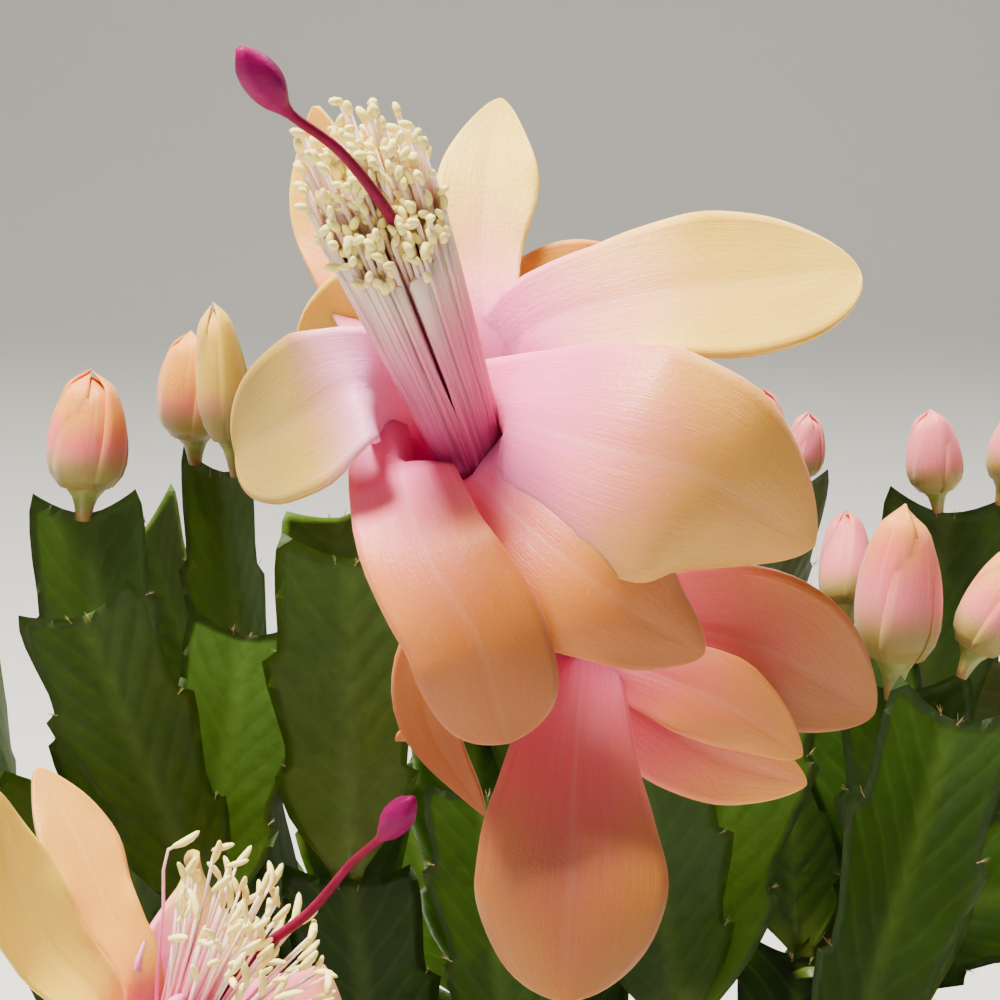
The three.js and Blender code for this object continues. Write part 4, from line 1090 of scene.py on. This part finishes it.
def petal_sheet(petal, tier, wave, phase):
    """Bends the flat master into a petal, whose line starts on the tube."""
    height, radius, root_half = tier
    path = np.array(petal.line, dtype=float)
    centre = BLOOM_AXIS * height
    away = path[0] - centre
    away = unit(away - BLOOM_AXIS * away.dot(BLOOM_AXIS))
    line = np.vstack([centre + away * radius, path])
    half = (root_half, *petal.half)
    around = np.cross(BLOOM_AXIS, away)

    def shape(points):
        u = points[:, 0]
        v = np.sin(np.clip((points[:, 1] + 1) / 2, 0, 1) * np.pi / 2)
        tangent = heading(line, v)
        turned = np.minimum(v * 2.5, 1)[:, None]
        side = mix(around, unit(np.cross(ONLOOKER, tangent)), turned)
        side = unit(side - tangent * (side * tangent).sum(1, keepdims=True))
        normal = np.cross(tangent, side)
        roll = (math.radians(petal.roll) * ease(v, 0.1, 0.5))[:, None]
        cosine, sine = np.cos(roll), np.sin(roll)
        side, normal = side * cosine + normal * sine, normal * cosine - side * sine
        narrowing = np.clip(1 - v ** (petal.tip * 1.3), 0, 1) ** (0.5 + 0.4 / petal.tip)
        width = np.maximum(along(half, v) * narrowing, LEAST_HALF)[:, None]
        bend = (math.radians(petal.curl) * np.minimum(v * 2, 1) + 1e-4)[:, None]
        arc = bend * u[:, None]
        place = along(line, v) + side * width * np.sin(arc) / bend
        place = place + normal * width * (1 - np.cos(arc)) / bend
        normal = normal * np.cos(arc) - side * np.sin(arc)
        channel = np.exp(-((u / CHANNEL_HALF) ** 2)) * ease(v, 0.05, 0.4) * (1 - ease(v, 0.8, 1))
        crest = np.sin(2 * np.pi * (CREST_WAVES * v + phase + CREST_SHIFT * np.sign(u)))
        crimp = np.sin(2 * np.pi * (CRIMP_WAVES * v + 2 * phase + CRIMP_SHIFT * np.sign(u)))
        waves = (crest + CRIMP_SHARE * crimp) * ease(v, 0.15, 0.5) * narrowing
        ruffle = wave * np.abs(u) ** 3 * waves
        return place + normal * (ruffle - CHANNEL_DEPTH * channel)[:, None]
    return shape


def on_petal(co):
    return (co.x * 0.5 + 0.5, math.sin((co.y * 0.5 + 0.5) * math.pi / 2))


fine_petal = sheet_master("fine_petal", 16, 34, on_petal)
plain_petal = sheet_master("plain_petal", 10, 20, on_petal)

# %% [markdown]
# Petals shine like raw silk. Their cells lie in rows from root to tip, so the colour runs in fine
# streaks, and the light glides along them. The root is magenta, the middle pink, and the tip
# turns to cream, yellow or peach. The colour is read from the place along each petal, with streaks
# that push the borders to and fro, so that no two petals fade alike. Light passes through the thin
# wall, which subsurface scattering gives.


# %% Petal finish
def petal_finish(name, root_end, root, throat, cup=0.0, shade=0.0, hold=0.0):
    """Silk with the throat's colour up to root_end. Hold moves the pink of the root outward onto
    the lip, where it is partly the petal's own colour and partly a painted sheen, shade darkens all
    of it as painted shade, and cup is how far a bud's green foot reaches."""
    silk = Finish(name, 0.42, subsurface_weight=0.4, subsurface_scale=0.0014, sheen_weight=0.08,
                  subsurface_radius=(1.0, 0.5, 0.35), specular_ior_level=0.35)
    place, across, lengthwise = silk.leaf_place()
    # The fourth tone, depth, is painted shade that darkens a petal towards its tip.
    orange, reach, green, depth = silk.tones()
    spot = silk.body_place()
    streak = silk.noise(silk.stretched(place, (30.0, 1.4, 1.0)), 1.0, 4.0, 0.6)
    fine = silk.noise(silk.stretched(place, (150.0, 5.0, 1.0)), 1.0, 3.0, 0.65)
    cells = silk.noise(spot, 2600.0, 2.0, 0.7)
    cloud = silk.noise(spot, 120.0, 3.0)
    jitter = silk.swing(streak, 0.3)
    off_rib = silk.off_rib(across)
    low = silk.plus(silk.math("DIVIDE", lengthwise, reach), jitter)
    fade = silk.plus(silk.plus(low, silk.times(off_rib, 0.4)), silk.swing(cloud, 0.5))
    foot = silk.plus(lengthwise, silk.times(jitter, 0.4))
    tip = silk.blend(green, silk.blend(orange, "#f4cc3c", "#e98020"), "#cbb022")
    pink = silk.blend(orange, "#f79280", "#e8505a")
    skin = silk.blend(silk.ramp(fade, 0.55, 1.25), pink, tip)
    skin = silk.blend(silk.ramp(low, 0.3 + hold, 0.75 + hold), root, skin)
    skin = silk.blend(silk.ramp(foot, root_end - 0.05, root_end + 0.12), throat, skin)
    rib = silk.times(silk.ramp(off_rib, 0.0, 0.04, 0.1, 0.0), silk.ramp(lengthwise, 0.1, 0.4))
    rim = silk.times(orange, silk.ramp(off_rib, 0.4, 0.5, 0.0, 0.35))
    layers = [
        (rib, "#fbe3b4"),
        (rim, "#df7430"),
        # Pale fine streaks: partly the paler rows of cells, partly a painted sheen along them.
        (silk.ramp(fine, 0.4, 0.8, 0.0, 0.14), "#ffd7a0"),
        (silk.ramp(streak, 0.5, 0.8, 0.0, 0.2), "#cf7840"),
        # Painted shade: depth darkens the outer part of the petal.
        (silk.times(depth, silk.ramp(lengthwise, 0.3, 0.9)), "#9c8684", "MULTIPLY"),
    ]
    # Painted shade over the whole petal, for a tier that hangs under another.
    if shade:
        layers.append((shade, "#5a2410", "MULTIPLY"))
    if cup:
        layers.append((silk.ramp(foot, cup * 0.4, cup * 1.4, 0.9, 0.0), "#8f8a34"))
    silk.paint(skin, *layers)
    silk.join(silk.ramp(fine, 0.3, 0.8, 0.3, 0.52), "Roughness")
    silk.relief(silk.plus(silk.plus(fine, cells), silk.times(streak, 0.8)), 0.00016, 0.4)
    return silk


# The pale root colour that reaches onto the rolled lips is partly the petals' own lilac and partly
# a painted sheen.
upper_silk = petal_finish("upper_petal_silk", 0.06, "#f468a8", "#dc2ca8", hold=0.06)
rolled_silk = petal_finish("rolled_petal_silk", 0.14, "#fba0d8", "#dc2ca8", hold=0.32)
# The lower tier hangs under the upper one and is darkened all over as painted shade.
lower_silk = petal_finish("lower_petal_silk", 0.27, "#f3567c", "#dd2c84", shade=0.1)
print("petal finishes:", *(silk.material.name for silk in (upper_silk, rolled_silk, lower_silk)))

# %% [markdown]
# Every bloom takes its petals from the same list, each with its own wave, so a change to one petal
# shows on the whole plant. The second bloom turns two petals of its own to the onlooker, in yellow.

# %% Build the petals
PETAL_WALL = 0.5
FULL_BLOOM = "front"
ROLLED_PETAL = "left"
TURN = -38
TURNED = {
    ("front_left", "top"): (0.6, 0.3, 0.1, 0.1),
    ("front_left", "top_left"): (0.0, 0.2, 0.3, 0.0),
}
PETAL_WAVES = (0.25, 0.6)
petal_dice = Dice(9)
for name, place in bloom_places.items():
    piece = Piece(f"bloom_{name}_petals", [upper_silk, lower_silk, rolled_silk])
    master = fine_petal if name in ("front", "front_left") else plain_petal
    for level, (tier, petals) in enumerate(TIERS):
        for petal in petals:
            wave = petal_dice.roll(*PETAL_WAVES)
            phase = petal_dice.roll()
            if petal.spare and name != FULL_BLOOM:
                continue
            if (name, petal.name) in TURNED:
                petal = replace(petal, roll=TURN, tone=TURNED[name, petal.name])
            bent = place.of(petal_sheet(petal, tier, wave, phase))
            material = 2 if petal.name == ROLLED_PETAL else level
            piece.fit(master, bent, petal.tone, material, flip=True)
    piece.done(f"petals_{name}", thickness=PETAL_WALL)

# %% [markdown]
# ## The tube and its pod
#
# All the petals are joined in one slim tube. It starts as a green pod on the tip of the stem, has
# a narrow waist, turns magenta and opens in the throat. It is a turned shape, so a drawn half
# profile is spun round the bloom's axis.

# %% Tube of the bloom
TUBE_OUTSIDE = [
    (0, 0), (0.2, 0.0), (0.9, 0.3), (2.3, 2), (3.1, 4.5), (3.2, 7), (2.7, 9.5), (2.2, 11.2),
    (2.6, 13.5), (3.6, 17), (4.0, 23), (4.1, 30), (4.4, 34), (4.7, 36), (4.75, 37),
]
TUBE_INSIDE = [(4.6, 37.2), (4.5, 36.9), (4.35, 36.3), (4.2, 35.8), (4.1, 35.2), (0.0, 35.0)]
TUBE_STEPS = 32
inside_corners = {(round(z, 2), round(x, 2)) for x, z in TUBE_INSIDE}


def along_tube(co):
    """0 at the foot, 1 at the rim and above 1 down the inside of the throat."""
    is_inside = (round(co.z, 2), round(math.hypot(co.x, co.y), 2)) in inside_corners
    lengthwise = 2 - co.z / TUBE_LENGTH if is_inside else co.z / TUBE_LENGTH
    return (on_rod(co)[0], lengthwise)


tube_master = master_mesh("tube", spun(TUBE_OUTSIDE + TUBE_INSIDE, TUBE_STEPS), along_tube)

flesh = Finish("tube_flesh", 0.38, subsurface_weight=0.25, subsurface_scale=0.0015)
map_place, _, lengthwise = flesh.leaf_place()
ribs = flesh.noise(flesh.stretched(map_place, (26.0, 3.0, 1.0)), 1.0, 3.0)
level = flesh.plus(lengthwise, flesh.swing(ribs, 0.1))
flesh.paint(
    "#7c9440",
    (flesh.ramp(level, 0.2, 0.3), "#eeb39c"),
    (flesh.ramp(level, 0.3, 0.55), "#e2447c"),
    (flesh.ramp(level, 0.6, 0.95), "#d01f68"),
    (flesh.ramp(level, 1.03, 1.15), "#dc2ca8"),
)
flesh.relief(ribs, 0.0002, 0.5)

tube_foot = BLOOM_AXIS * TUBE_LENGTH
tube_frame = basis(BLOOM_AXIS, BLOOM_UPPER)
for name, place in bloom_places.items():
    piece = Piece(f"bloom_{name}_tube", [flesh])
    piece.fit(tube_master, place.of(lambda points: points @ tube_frame.T - tube_foot))
    piece.done(f"petals_{name}")

# %% [markdown]
# ## Stamens and style
#
# Some three hundred threads stand in the throat of the largest bloom, and fewer in the others.
# They lie side by side in a funnel with a slit on the near side, and each ends in a small bean of
# cream pollen. A thread is a stick laid along a curve, and the bean is a small ball that is bent.

# %% Threads and pollen
BUNDLE_START = BLOOM_AXIS * -6.7
BUNDLE_WAY = unit(vec(-5.5, 18.5, 16) - BUNDLE_START)
BUNDLE_SIDE = unit(np.cross(BUNDLE_WAY, ONLOOKER))
BUNDLE_NEAR = np.cross(BUNDLE_SIDE, BUNDLE_WAY)
NEAR_SHORTER = 0.18
FAR_LONGER = 0.08
POLLEN_ASKEW = 0.8
POLLEN_SIZES = (0.8, 1.1)


@dataclass
class Bundle:
    """Threads in the outer row and the inner one, the end and radii of the funnel, half the angle
    of its slit, how far a thread strays, the thread's radius, the size of its pollen and the share
    of their length over which the threads have grown together."""

    outer: int
    inner: int
    end: np.ndarray
    radii: tuple
    slit: float
    stray: float
    thread: float
    pollen: tuple
    grown: float = 0.9


CLOSED_END = vec(-6.1, 18.3, 16)
OPEN_END = vec(-3.2, 12, 10.4)
CLOSED_RADII = (2.3, 3.2, 4.0, 4.7)
OPEN_RADII = (2.7, 3.6, 5.4, 8.6)
BUNDLES = {
    "front": Bundle(76, 230, CLOSED_END, CLOSED_RADII, 0.08, 0.25, 0.24, (0.36, 0.7)),
    "front_left": Bundle(52, 48, OPEN_END, OPEN_RADII, 0.1, 0.9, 0.17, (0.38, 1.5), 0.4),
    "right": Bundle(38, 30, CLOSED_END, CLOSED_RADII, 0.15, 0.4, 0.3, (0.45, 0.9)),
}
BUNDLES["back"] = BUNDLES["right"]

bean = bmesh.new()
bmesh.ops.create_uvsphere(bean, u_segments=8, v_segments=5, radius=1.0)
for vert in bean.verts:
    vert.co.y += 0.5 * vert.co.z ** 2 - 0.25
bean_master = master_mesh("pollen_bean", bean, lambda co: (0.5, co.z * 0.5 + 0.5))


def in_bundle(bundle, v, angle, share, length=1.0, inset=0.0):
    """Points at v along the bundle, at an angle round it and a share of its radius off its axis.
    Threads are shorter on the near side and longer on the far one, less so further inside."""
    near = np.cos(angle)
    slant = 1 - NEAR_SHORTER * np.maximum(near, 0) + FAR_LONGER * np.maximum(-near, 0)
    reach = v * mix(1, mix(slant, 1, inset), v * v) * length
    out = BUNDLE_NEAR * near[:, None] + BUNDLE_SIDE * np.sin(angle)[:, None]
    radius = (along(bundle.radii, v) * share)[:, None]
    return mix(BUNDLE_START, bundle.end, reach[:, None]) + out * radius


def thread_line(bundle, angle, inset, length, jitter):
    """Five stations of one thread, from the throat to its pollen."""
    v = np.linspace(0, 1, 5)
    line = in_bundle(bundle, v, np.full(5, angle), 1 - inset, length, inset)
    return line + jitter * (v * v)[:, None]


def bean_at(line, width, length):
    """Lays a pollen bean on the end of a thread, a little askew."""
    way = unit(unit(line[-1] - line[-2]) + thread_dice.push(POLLEN_ASKEW))
    side = unit(np.cross(way, vec(0.3, 0.2, 1)))
    axes = np.column_stack([side, np.cross(way, side), way])
    size = vec(width, width, length) * thread_dice.roll(*POLLEN_SIZES)
    return lambda points: points * size @ axes.T + line[-1] + way * length * 0.6


threads = Finish("stamen_threads", 0.3, subsurface_weight=0.7, subsurface_scale=0.0012,
                 subsurface_radius=(1.0, 0.85, 0.85))
_, _, lengthwise = threads.leaf_place()
threads.paint(
    "#c02a70",
    (threads.ramp(lengthwise, 0.1, 0.55), "#de6c8e"),
    (threads.ramp(lengthwise, 0.55, 1.05), "#f2cdb4"),
)
pollen = grained("cream_pollen", 0.8, "#ead468", "#fbf09a", 1500.0, 2.0, depth=0.0001)

# %% [markdown]
# For most of their length the threads have grown together, so fluted sheets stand between them and
# hide the floor of the throat. One thread of the second bloom stands apart from the rest.

# %% Build the bundles
# Each sheet's radius as a share of the row's, and how much shorter it ends.
SHEATHS = [(1.06, 0.0), (0.68, 0.05), (0.34, 0.08)]
SHEATH_WALL = 0.2
SLIT_OPENS, SLIT_OPEN = 0.25, 0.6
THREAD_TAPER = (1.1, 1.05, 0.95, 0.8)
THREAD_LENGTHS = (0.89, 1.04)
THREAD_INSETS = (0.1, 0.9)
THREAD_SHIFT = 0.25
STRAYS = {
    "front_left": [vec(-5.2, 10.6, 0.9), vec(-5.3, 15.7, 1.8), vec(-5.4, 20.4, 2.3),
                   vec(-5.2, 21.4, 3.6)],
}
STRAY_RADII = [0.2, 0.18, 0.16, 0.14]

wide_master = sheet_master("wide_sheet", 36, 8)


def sheath_of(bundle, share, shorter):
    """A sheet round the bundle's axis, where the threads have grown together."""
    def shape(points):
        v = (points[:, 1] + 1) / 2 * (bundle.grown - shorter)
        slit = bundle.slit * ease(v, SLIT_OPENS, SLIT_OPEN)
        angle = math.pi - points[:, 0] * (math.pi - slit)
        flute = 1 + 0.016 * np.cos(angle * 11) + 0.01 * np.cos(angle * 23 + 1)
        return in_bundle(bundle, v, angle, share * flute)
    return shape


def add_thread(line, radii, hint):
    """Adds a thread and its pollen to the bundle at hand."""
    piece.fit(stick_master, place.of(sweep(line, radii, hint)))
    tips.fit(bean_master, place.of(bean_at(line, *bundle.pollen)))


thread_dice = Dice(31)
for name, bundle in BUNDLES.items():
    place = bloom_places[name]
    piece = Piece(f"bloom_{name}_threads", [threads])
    tips = Piece(f"bloom_{name}_pollen", [pollen])
    for k in range(bundle.outer + bundle.inner):
        is_outer = k < bundle.outer
        share = (k + 0.5) / bundle.outer if is_outer else (k - bundle.outer + 0.5) / bundle.inner
        share += thread_dice.spread(THREAD_SHIFT) / bundle.outer
        angle = bundle.slit + share * 2 * (math.pi - bundle.slit)
        inset = 0.0 if is_outer else thread_dice.roll(*THREAD_INSETS)
        length = thread_dice.roll(*THREAD_LENGTHS)
        line = thread_line(bundle, angle, inset, length, thread_dice.push(bundle.stray))
        radii = [bundle.thread * grow for grow in THREAD_TAPER]
        add_thread(line, radii, BUNDLE_SIDE + vec(0.1, 0.2, 0.1))
    if name in STRAYS:
        add_thread(np.array([BUNDLE_START, *STRAYS[name]]), STRAY_RADII, vec(1, 0, 0))
    piece.done(f"stamens_{name}")
    tips.done(f"stamens_{name}")
    sheath = Piece(f"bloom_{name}_sheath", [threads])
    for share, shorter in SHEATHS:
        sheath.fit(wide_master, place.of(sheath_of(bundle, share, shorter)), flip=True)
    sheath.done(f"stamens_{name}", thickness=SHEATH_WALL)

# %% [markdown]
# The style is one rod too, a deep magenta one that swells into a sticky club with six faint lobes.
# The lobes are made by pushing each point of the rod in or out by a wave around it, which only
# takes hold near the end.

# %% Style and its club
STYLE_LINE = [
    BUNDLE_START, vec(-0.5, 8.5, 7), vec(-3.6, 14.3, 15.5), vec(-7.3, 19, 21),
    vec(-11, 21.5, 25), vec(-12.6, 23.4, 27.2), vec(-14, 25.2, 29.2),
]
STYLE_RADII = [
    0.6, 0.58, 0.55, 0.52, 0.5, 0.47, 0.44, 0.41, 0.39, 0.38, 0.42, 1.02, 1.36, 1.38, 1.08, 0.3,
]
CLUB_START, CLUB_FULL = 0.68, 0.76
CLUB_LOBES = 6
LOBE_DEPTH = 0.06

style_master = rod_master("style_rod", 18, 44)
lay_style = sweep(STYLE_LINE, STYLE_RADII, vec(1, 0, 0))


def lobed(points):
    angle = np.arctan2(points[:, 1], points[:, 0])
    hold = ease(points[:, 2], CLUB_START, CLUB_FULL)
    swell = 1 + hold * LOBE_DEPTH * np.cos(CLUB_LOBES * angle)
    return lay_style(points * np.column_stack([swell, swell, np.ones_like(swell)]))


nectar = Finish("magenta_style", 0.4, subsurface_weight=0.2, subsurface_scale=0.001,
                specular_ior_level=0.1)
_, _, lengthwise = nectar.leaf_place()
grain = nectar.noise(nectar.body_place(), 900.0, 3.0)
nectar.paint(
    "#6c062c",
    (nectar.ramp(lengthwise, 0.64, 0.74), "#780048"),
    (nectar.ramp(grain, 0.45, 0.8, 0.0, 0.25), "#a8005c"),
)
nectar.relief(grain, 0.0002, 0.6)

for name, place in bloom_places.items():
    piece = Piece(f"bloom_{name}_style", [nectar])
    piece.fit(style_master, place.of(lobed))
    piece.done(f"style_{name}")

# %% [markdown]
# ## Buds
#
# A closed bud is a roll of petals on a small green pod. Each petal of the roll lies over the next
# with one edge, so the seams run up the bud in a slow spiral. A plain turned shape would miss
# those seams, so five petal sheets are wrapped round the bud, each a little further out on one
# side.

# %% Build the buds
BUD_PROFILE = [0.25, 0.4, 0.74, 0.92, 0.99, 1.0, 0.98, 0.93, 0.85, 0.73, 0.55, 0.06]
POD_RADII = vec(0.2, 0.26, 0.36, 0.62, 0.8)
CUP_START = 0.15
WRAP_PETALS = 5
WRAP_WALL = 0.22
SHORTER_WRAP = 0.018
SEAM_TWIST = 0.5
# How far a petal of the roll stands off: all of it, its outer edge and its middle.
WRAP_LIFT, EDGE_LIFT, MIDDLE_LIFT = 0.03, 0.06, 0.03
# The buds that the first bloom hangs between, each as ripe as it is on the plant. The fourth tone
# of each darkens its tip as painted shade.
BUD_TONES = {
    1: (0.95, 0.42, 0.0, 0.0), 2: (0.8, 0.36, 0.0, 0.0), 3: (0.35, 0.26, 0.0, 0.0),
    4: (0.9, 1.6, 0.0, 0.0), 5: (0.9, 1.6, 0.0, 0.0), 6: (1.0, 1.8, 0.0, 0.0),
    7: (1.0, 1.8, 0.0, 0.0), 8: (0.9, 0.7, 0.0, 0.1), 9: (0.8, 0.5, 0.0, 0.1),
    10: (0.9, 1.2, 0.0, 0.3),
}

wrap_master = sheet_master("wrap", 8, 14)


def bud_axis(bud, v):
    """The bud's axis at v, which bows upward with its length."""
    rise = (bud.bow * v * v * bud.length)[:, None] * vec(0, 0, 1)
    return bud.foot + bud.direction * (v * bud.length)[:, None] + rise


def wrapped(bud, turn, end):
    """Wraps a sheet round the bud, with one edge under its neighbour."""
    x = unit(vec(bud.direction[1], -bud.direction[0], 0.001))
    y = np.cross(bud.direction, x)

    def shape(points):
        u, lengthwise = points[:, 0], np.sin((points[:, 1] + 1) * math.pi / 4)
        v = mix(CUP_START, end, lengthwise)
        span = np.sqrt(np.clip(1 - 0.5 * lengthwise ** 6, 0.03, 1))
        angle = turn + u * span + SEAM_TWIST * v
        lift = WRAP_LIFT + EDGE_LIFT * (1 - u) * (1 - 0.5 * lengthwise)
        share = along(BUD_PROFILE, v / end) * (1 + lift) - MIDDLE_LIFT * u * u
        radius = np.maximum(bud.radius * share, 0.02)
        across = x * np.cos(angle)[:, None] + y * np.sin(angle)[:, None]
        return bud_axis(bud, v) + across * radius[:, None]
    return shape


bud_silk = petal_finish("bud_silk", -0.5, "#f0707c", "#d4155f", cup=0.22)
pod_skin = Finish("green_pod", 0.4, subsurface_weight=0.15, subsurface_scale=0.001)
_, _, lengthwise = pod_skin.leaf_place()
mottle = pod_skin.noise(pod_skin.body_place(), 500.0, 3.0)
pod_skin.paint(
    "#6d7c2c",
    (pod_skin.ramp(mottle, 0.3, 0.7), "#98964a"),
    (pod_skin.ramp(lengthwise, 0.0, 0.5, 0.6, 0.0), "#a3673c"),
)

bud_dice = Dice(77)
for i, bud in enumerate(buds, start=1):
    piece = Piece(f"bud_{i:02d}_petals", [bud_silk])
    # Other buds get a little painted shade towards the tip, from the fourth tone.
    tone = (bud_dice.roll(0.45, 0.85), bud_dice.roll(0.7, 1.1), bud_dice.roll(0.0, 0.15), 0.2)
    tone = BUD_TONES.get(i, tone)
    first_turn = bud_dice.roll(0, math.tau)
    for k in range(WRAP_PETALS):
        turn = first_turn + k * math.tau / WRAP_PETALS
        end = 1 - SHORTER_WRAP * (k * 2 % WRAP_PETALS)
        piece.fit(wrap_master, wrapped(bud, turn, end), tone)
    piece.done(f"bud_{i:02d}", thickness=WRAP_WALL)
    pod = Piece(f"bud_{i:02d}_pod", [pod_skin])
    pod_line = bud_axis(bud, np.linspace(-0.1, 0.24, 5))
    pod.fit(stick_master, sweep(pod_line, POD_RADII * bud.radius, vec(0.1, 1, 0.2)))
    pod.done(f"bud_{i:02d}")

# %% [markdown]
# ## Pot and soil
#
# The pot is fired clay, turned on a wheel and unglazed. A profile is spun round, its corners are
# softened, and four drain holes are cut through the floor.

# %% Turn the pot
POT_PROFILE = [
    (0, 0), (41.5, 0), (43, 1.5), (60.5, 86), (64, 86), (65, 87.5), (65, 106), (63.5, 108),
    (61.2, 108), (60, 106), (38, 7), (0, 7),
]
POT_WALLS = (2, 9)
POT_STEPS = 96
DRAIN_HOLES = 4
DRAIN_RING = 20 * MM
DRAIN_RADIUS = 4.5 * MM
DRILL_LENGTH = 30 * MM
SOFT_CORNER = 0.5 * MM

pot_profile = [(radius * MM, height * MM) for radius, height in POT_PROFILE]
pot_shape = spun(pot_profile, POT_STEPS, close=1e-6, long_edges=POT_WALLS)
pot = link("clay_pot", keep("clay_pot", pot_shape))

drills = bmesh.new()
for k in range(DRAIN_HOLES):
    angle = math.tau * (k + 0.5) / DRAIN_HOLES
    drill = bmesh.ops.create_cone(drills, cap_ends=True, segments=24, radius1=DRAIN_RADIUS,
                                  radius2=DRAIN_RADIUS, depth=DRILL_LENGTH)["verts"]
    middle = (DRAIN_RING * math.cos(angle), DRAIN_RING * math.sin(angle), 0)
    bmesh.ops.translate(drills, verts=drill, vec=middle)
drill_object = link("drills", keep("drills", drills))
cut = pot.modifiers.new("drain_holes", "BOOLEAN")
cut.operation = "DIFFERENCE"
cut.solver = "EXACT"
cut.object = drill_object
bpy.context.view_layer.update()
drilled = pot.evaluated_get(bpy.context.evaluated_depsgraph_get())
pot.data = bpy.data.meshes.new_from_object(drilled)
pot.modifiers.remove(cut)
bpy.data.objects.remove(drill_object)
for polygon in pot.data.polygons:
    polygon.use_smooth = True
soften = pot.modifiers.new("soft_corners", "BEVEL")
soften.width = SOFT_CORNER
soften.segments = 2
soften.limit_method = "ANGLE"
soften.angle_limit = math.radians(40)
print("pot:", len(pot.data.vertices), "points")

# %% [markdown]
# Clay of this kind has fine grains, the rings of the throwing and pale bloom where salts came
# through with the water. The foot is darker.

# %% Clay finish
clay = Finish("fired_clay", 0.85)
spot = clay.body_place()
patch = clay.noise(spot, 22.0, 4.0)
grit = clay.noise(spot, 900.0, 4.0, 0.7)
turning = clay.noise(clay.stretched(spot, (6.0, 6.0, 420.0)), 1.0, 3.0)
height = clay.add("SeparateXYZ", {0: spot}).outputs[2]
bloom = clay.ramp(clay.noise(spot, 45.0, 6.0, 0.65), 0.5, 0.72)
salt = clay.times(bloom, clay.ramp(height, 0.02, 0.1, 0.25, 0.6))
clay.paint(
    "#a85a38",
    (clay.ramp(patch, 0.3, 0.7), "#c67b54"),
    (clay.ramp(grit, 0.35, 0.75, 0.0, 0.35), "#8f4a2e"),
    (salt, "#d9b8a0"),
    (clay.ramp(height, 0.0, 0.012, 0.4, 0.0), "#6b3b28"),
)
clay.join(clay.ramp(grit, 0.2, 0.8, 0.75, 0.95), "Roughness")
clay.relief(clay.plus(grit, clay.times(turning, 1.4)), 0.00035, 0.7)
pot.data.materials.clear()
pot.data.materials.append(clay.material)
stands_for(pot, "pot")

# %% [markdown]
# The soil is a loose mix of dark peat, bark chips and white mineral grains. Its body is spun like
# the pot and its top is pushed up and down at random, and some hundreds of crumbs lie on top.

# %% Soil and crumbs
SOIL_RINGS = [0, 4, 8, 12, 16, 20, 24, 28, 32, 36, 40, 44, 48, 52, 55.4]
SOIL_BOTTOM = [(37.4, 7.3), (0, 7.3)]
SOIL_STEPS = 60
# Radius and height where the crown, the slope and the edge of the soil begin or end.
CROWN, SLOPE, EDGE = (16, 94.0), (40, 92.5), (55.4, 89.0)
ROUGH_FLOOR = 80
ROUGH_RADIUS = 54
ROUGHNESS = 0.9
CRUMBS = 340
CRUMB_SIZES = (0.5, 1.5)
CHIP_SHARE, GRAIN_SHARE = 0.45, 0.62


def soil_top(radius):
    if radius < CROWN[0]:
        return CROWN[1]
    low, high = (CROWN, SLOPE) if radius < SLOPE[0] else (SLOPE, EDGE)
    return mix(low[1], high[1], (radius - low[0]) / (high[0] - low[0]))


soil = spun([(radius, soil_top(radius)) for radius in SOIL_RINGS] + SOIL_BOTTOM, SOIL_STEPS)
soil_dice = Dice(3)
for vert in soil.verts:
    if vert.co.z > ROUGH_FLOOR and math.hypot(vert.co.x, vert.co.y) < ROUGH_RADIUS:
        vert.co.z += soil_dice.spread(ROUGHNESS)
soil_master = master_mesh("soil", soil, on_spot)

crumb = bmesh.new()
bmesh.ops.create_icosphere(crumb, subdivisions=1, radius=1.0)
crumb_master = master_mesh("crumb", crumb, on_spot)

peat = grained("dark_peat", 0.95, "#1c140e", "#4b3626", 260.0, 6.0, 0.75, depth=0.0016,
               edges=(0.35, 0.75))
chip = grained("bark_chip", 0.9, "#3d281a", "#8a6543", 700.0, 4.0, depth=0.0005,
               stretch=(1, 0.3, 1))
perlite = grained("white_grain", 0.9, "#c9c4b8", "#f1eee6", 1400.0, 3.0, depth=0.0004)

piece = Piece("potting_soil", [peat, chip, perlite])
piece.fit(soil_master, lambda points: points)
for k in range(CRUMBS):
    radius = ROUGH_RADIUS * math.sqrt(soil_dice.roll(0.002, 1))
    angle = soil_dice.roll(0, math.tau)
    kind = soil_dice.roll()
    size = soil_dice.roll(*CRUMB_SIZES)
    centre = vec(radius * math.cos(angle), radius * math.sin(angle), soil_top(radius) + size * 0.35)
    turn = basis(soil_dice.push(1) + vec(0, 0, 0.01), vec(0.3, 1, 0.2))
    form = np.diag([size, size * soil_dice.roll(0.5, 0.9), size * soil_dice.roll(0.35, 0.8)])
    material = 1 if kind < CHIP_SHARE else 2 if kind < GRAIN_SHARE else 0
    piece.fit(crumb_master, lambda points: points @ form @ turn.T + centre, material=material)
piece.done("soil")
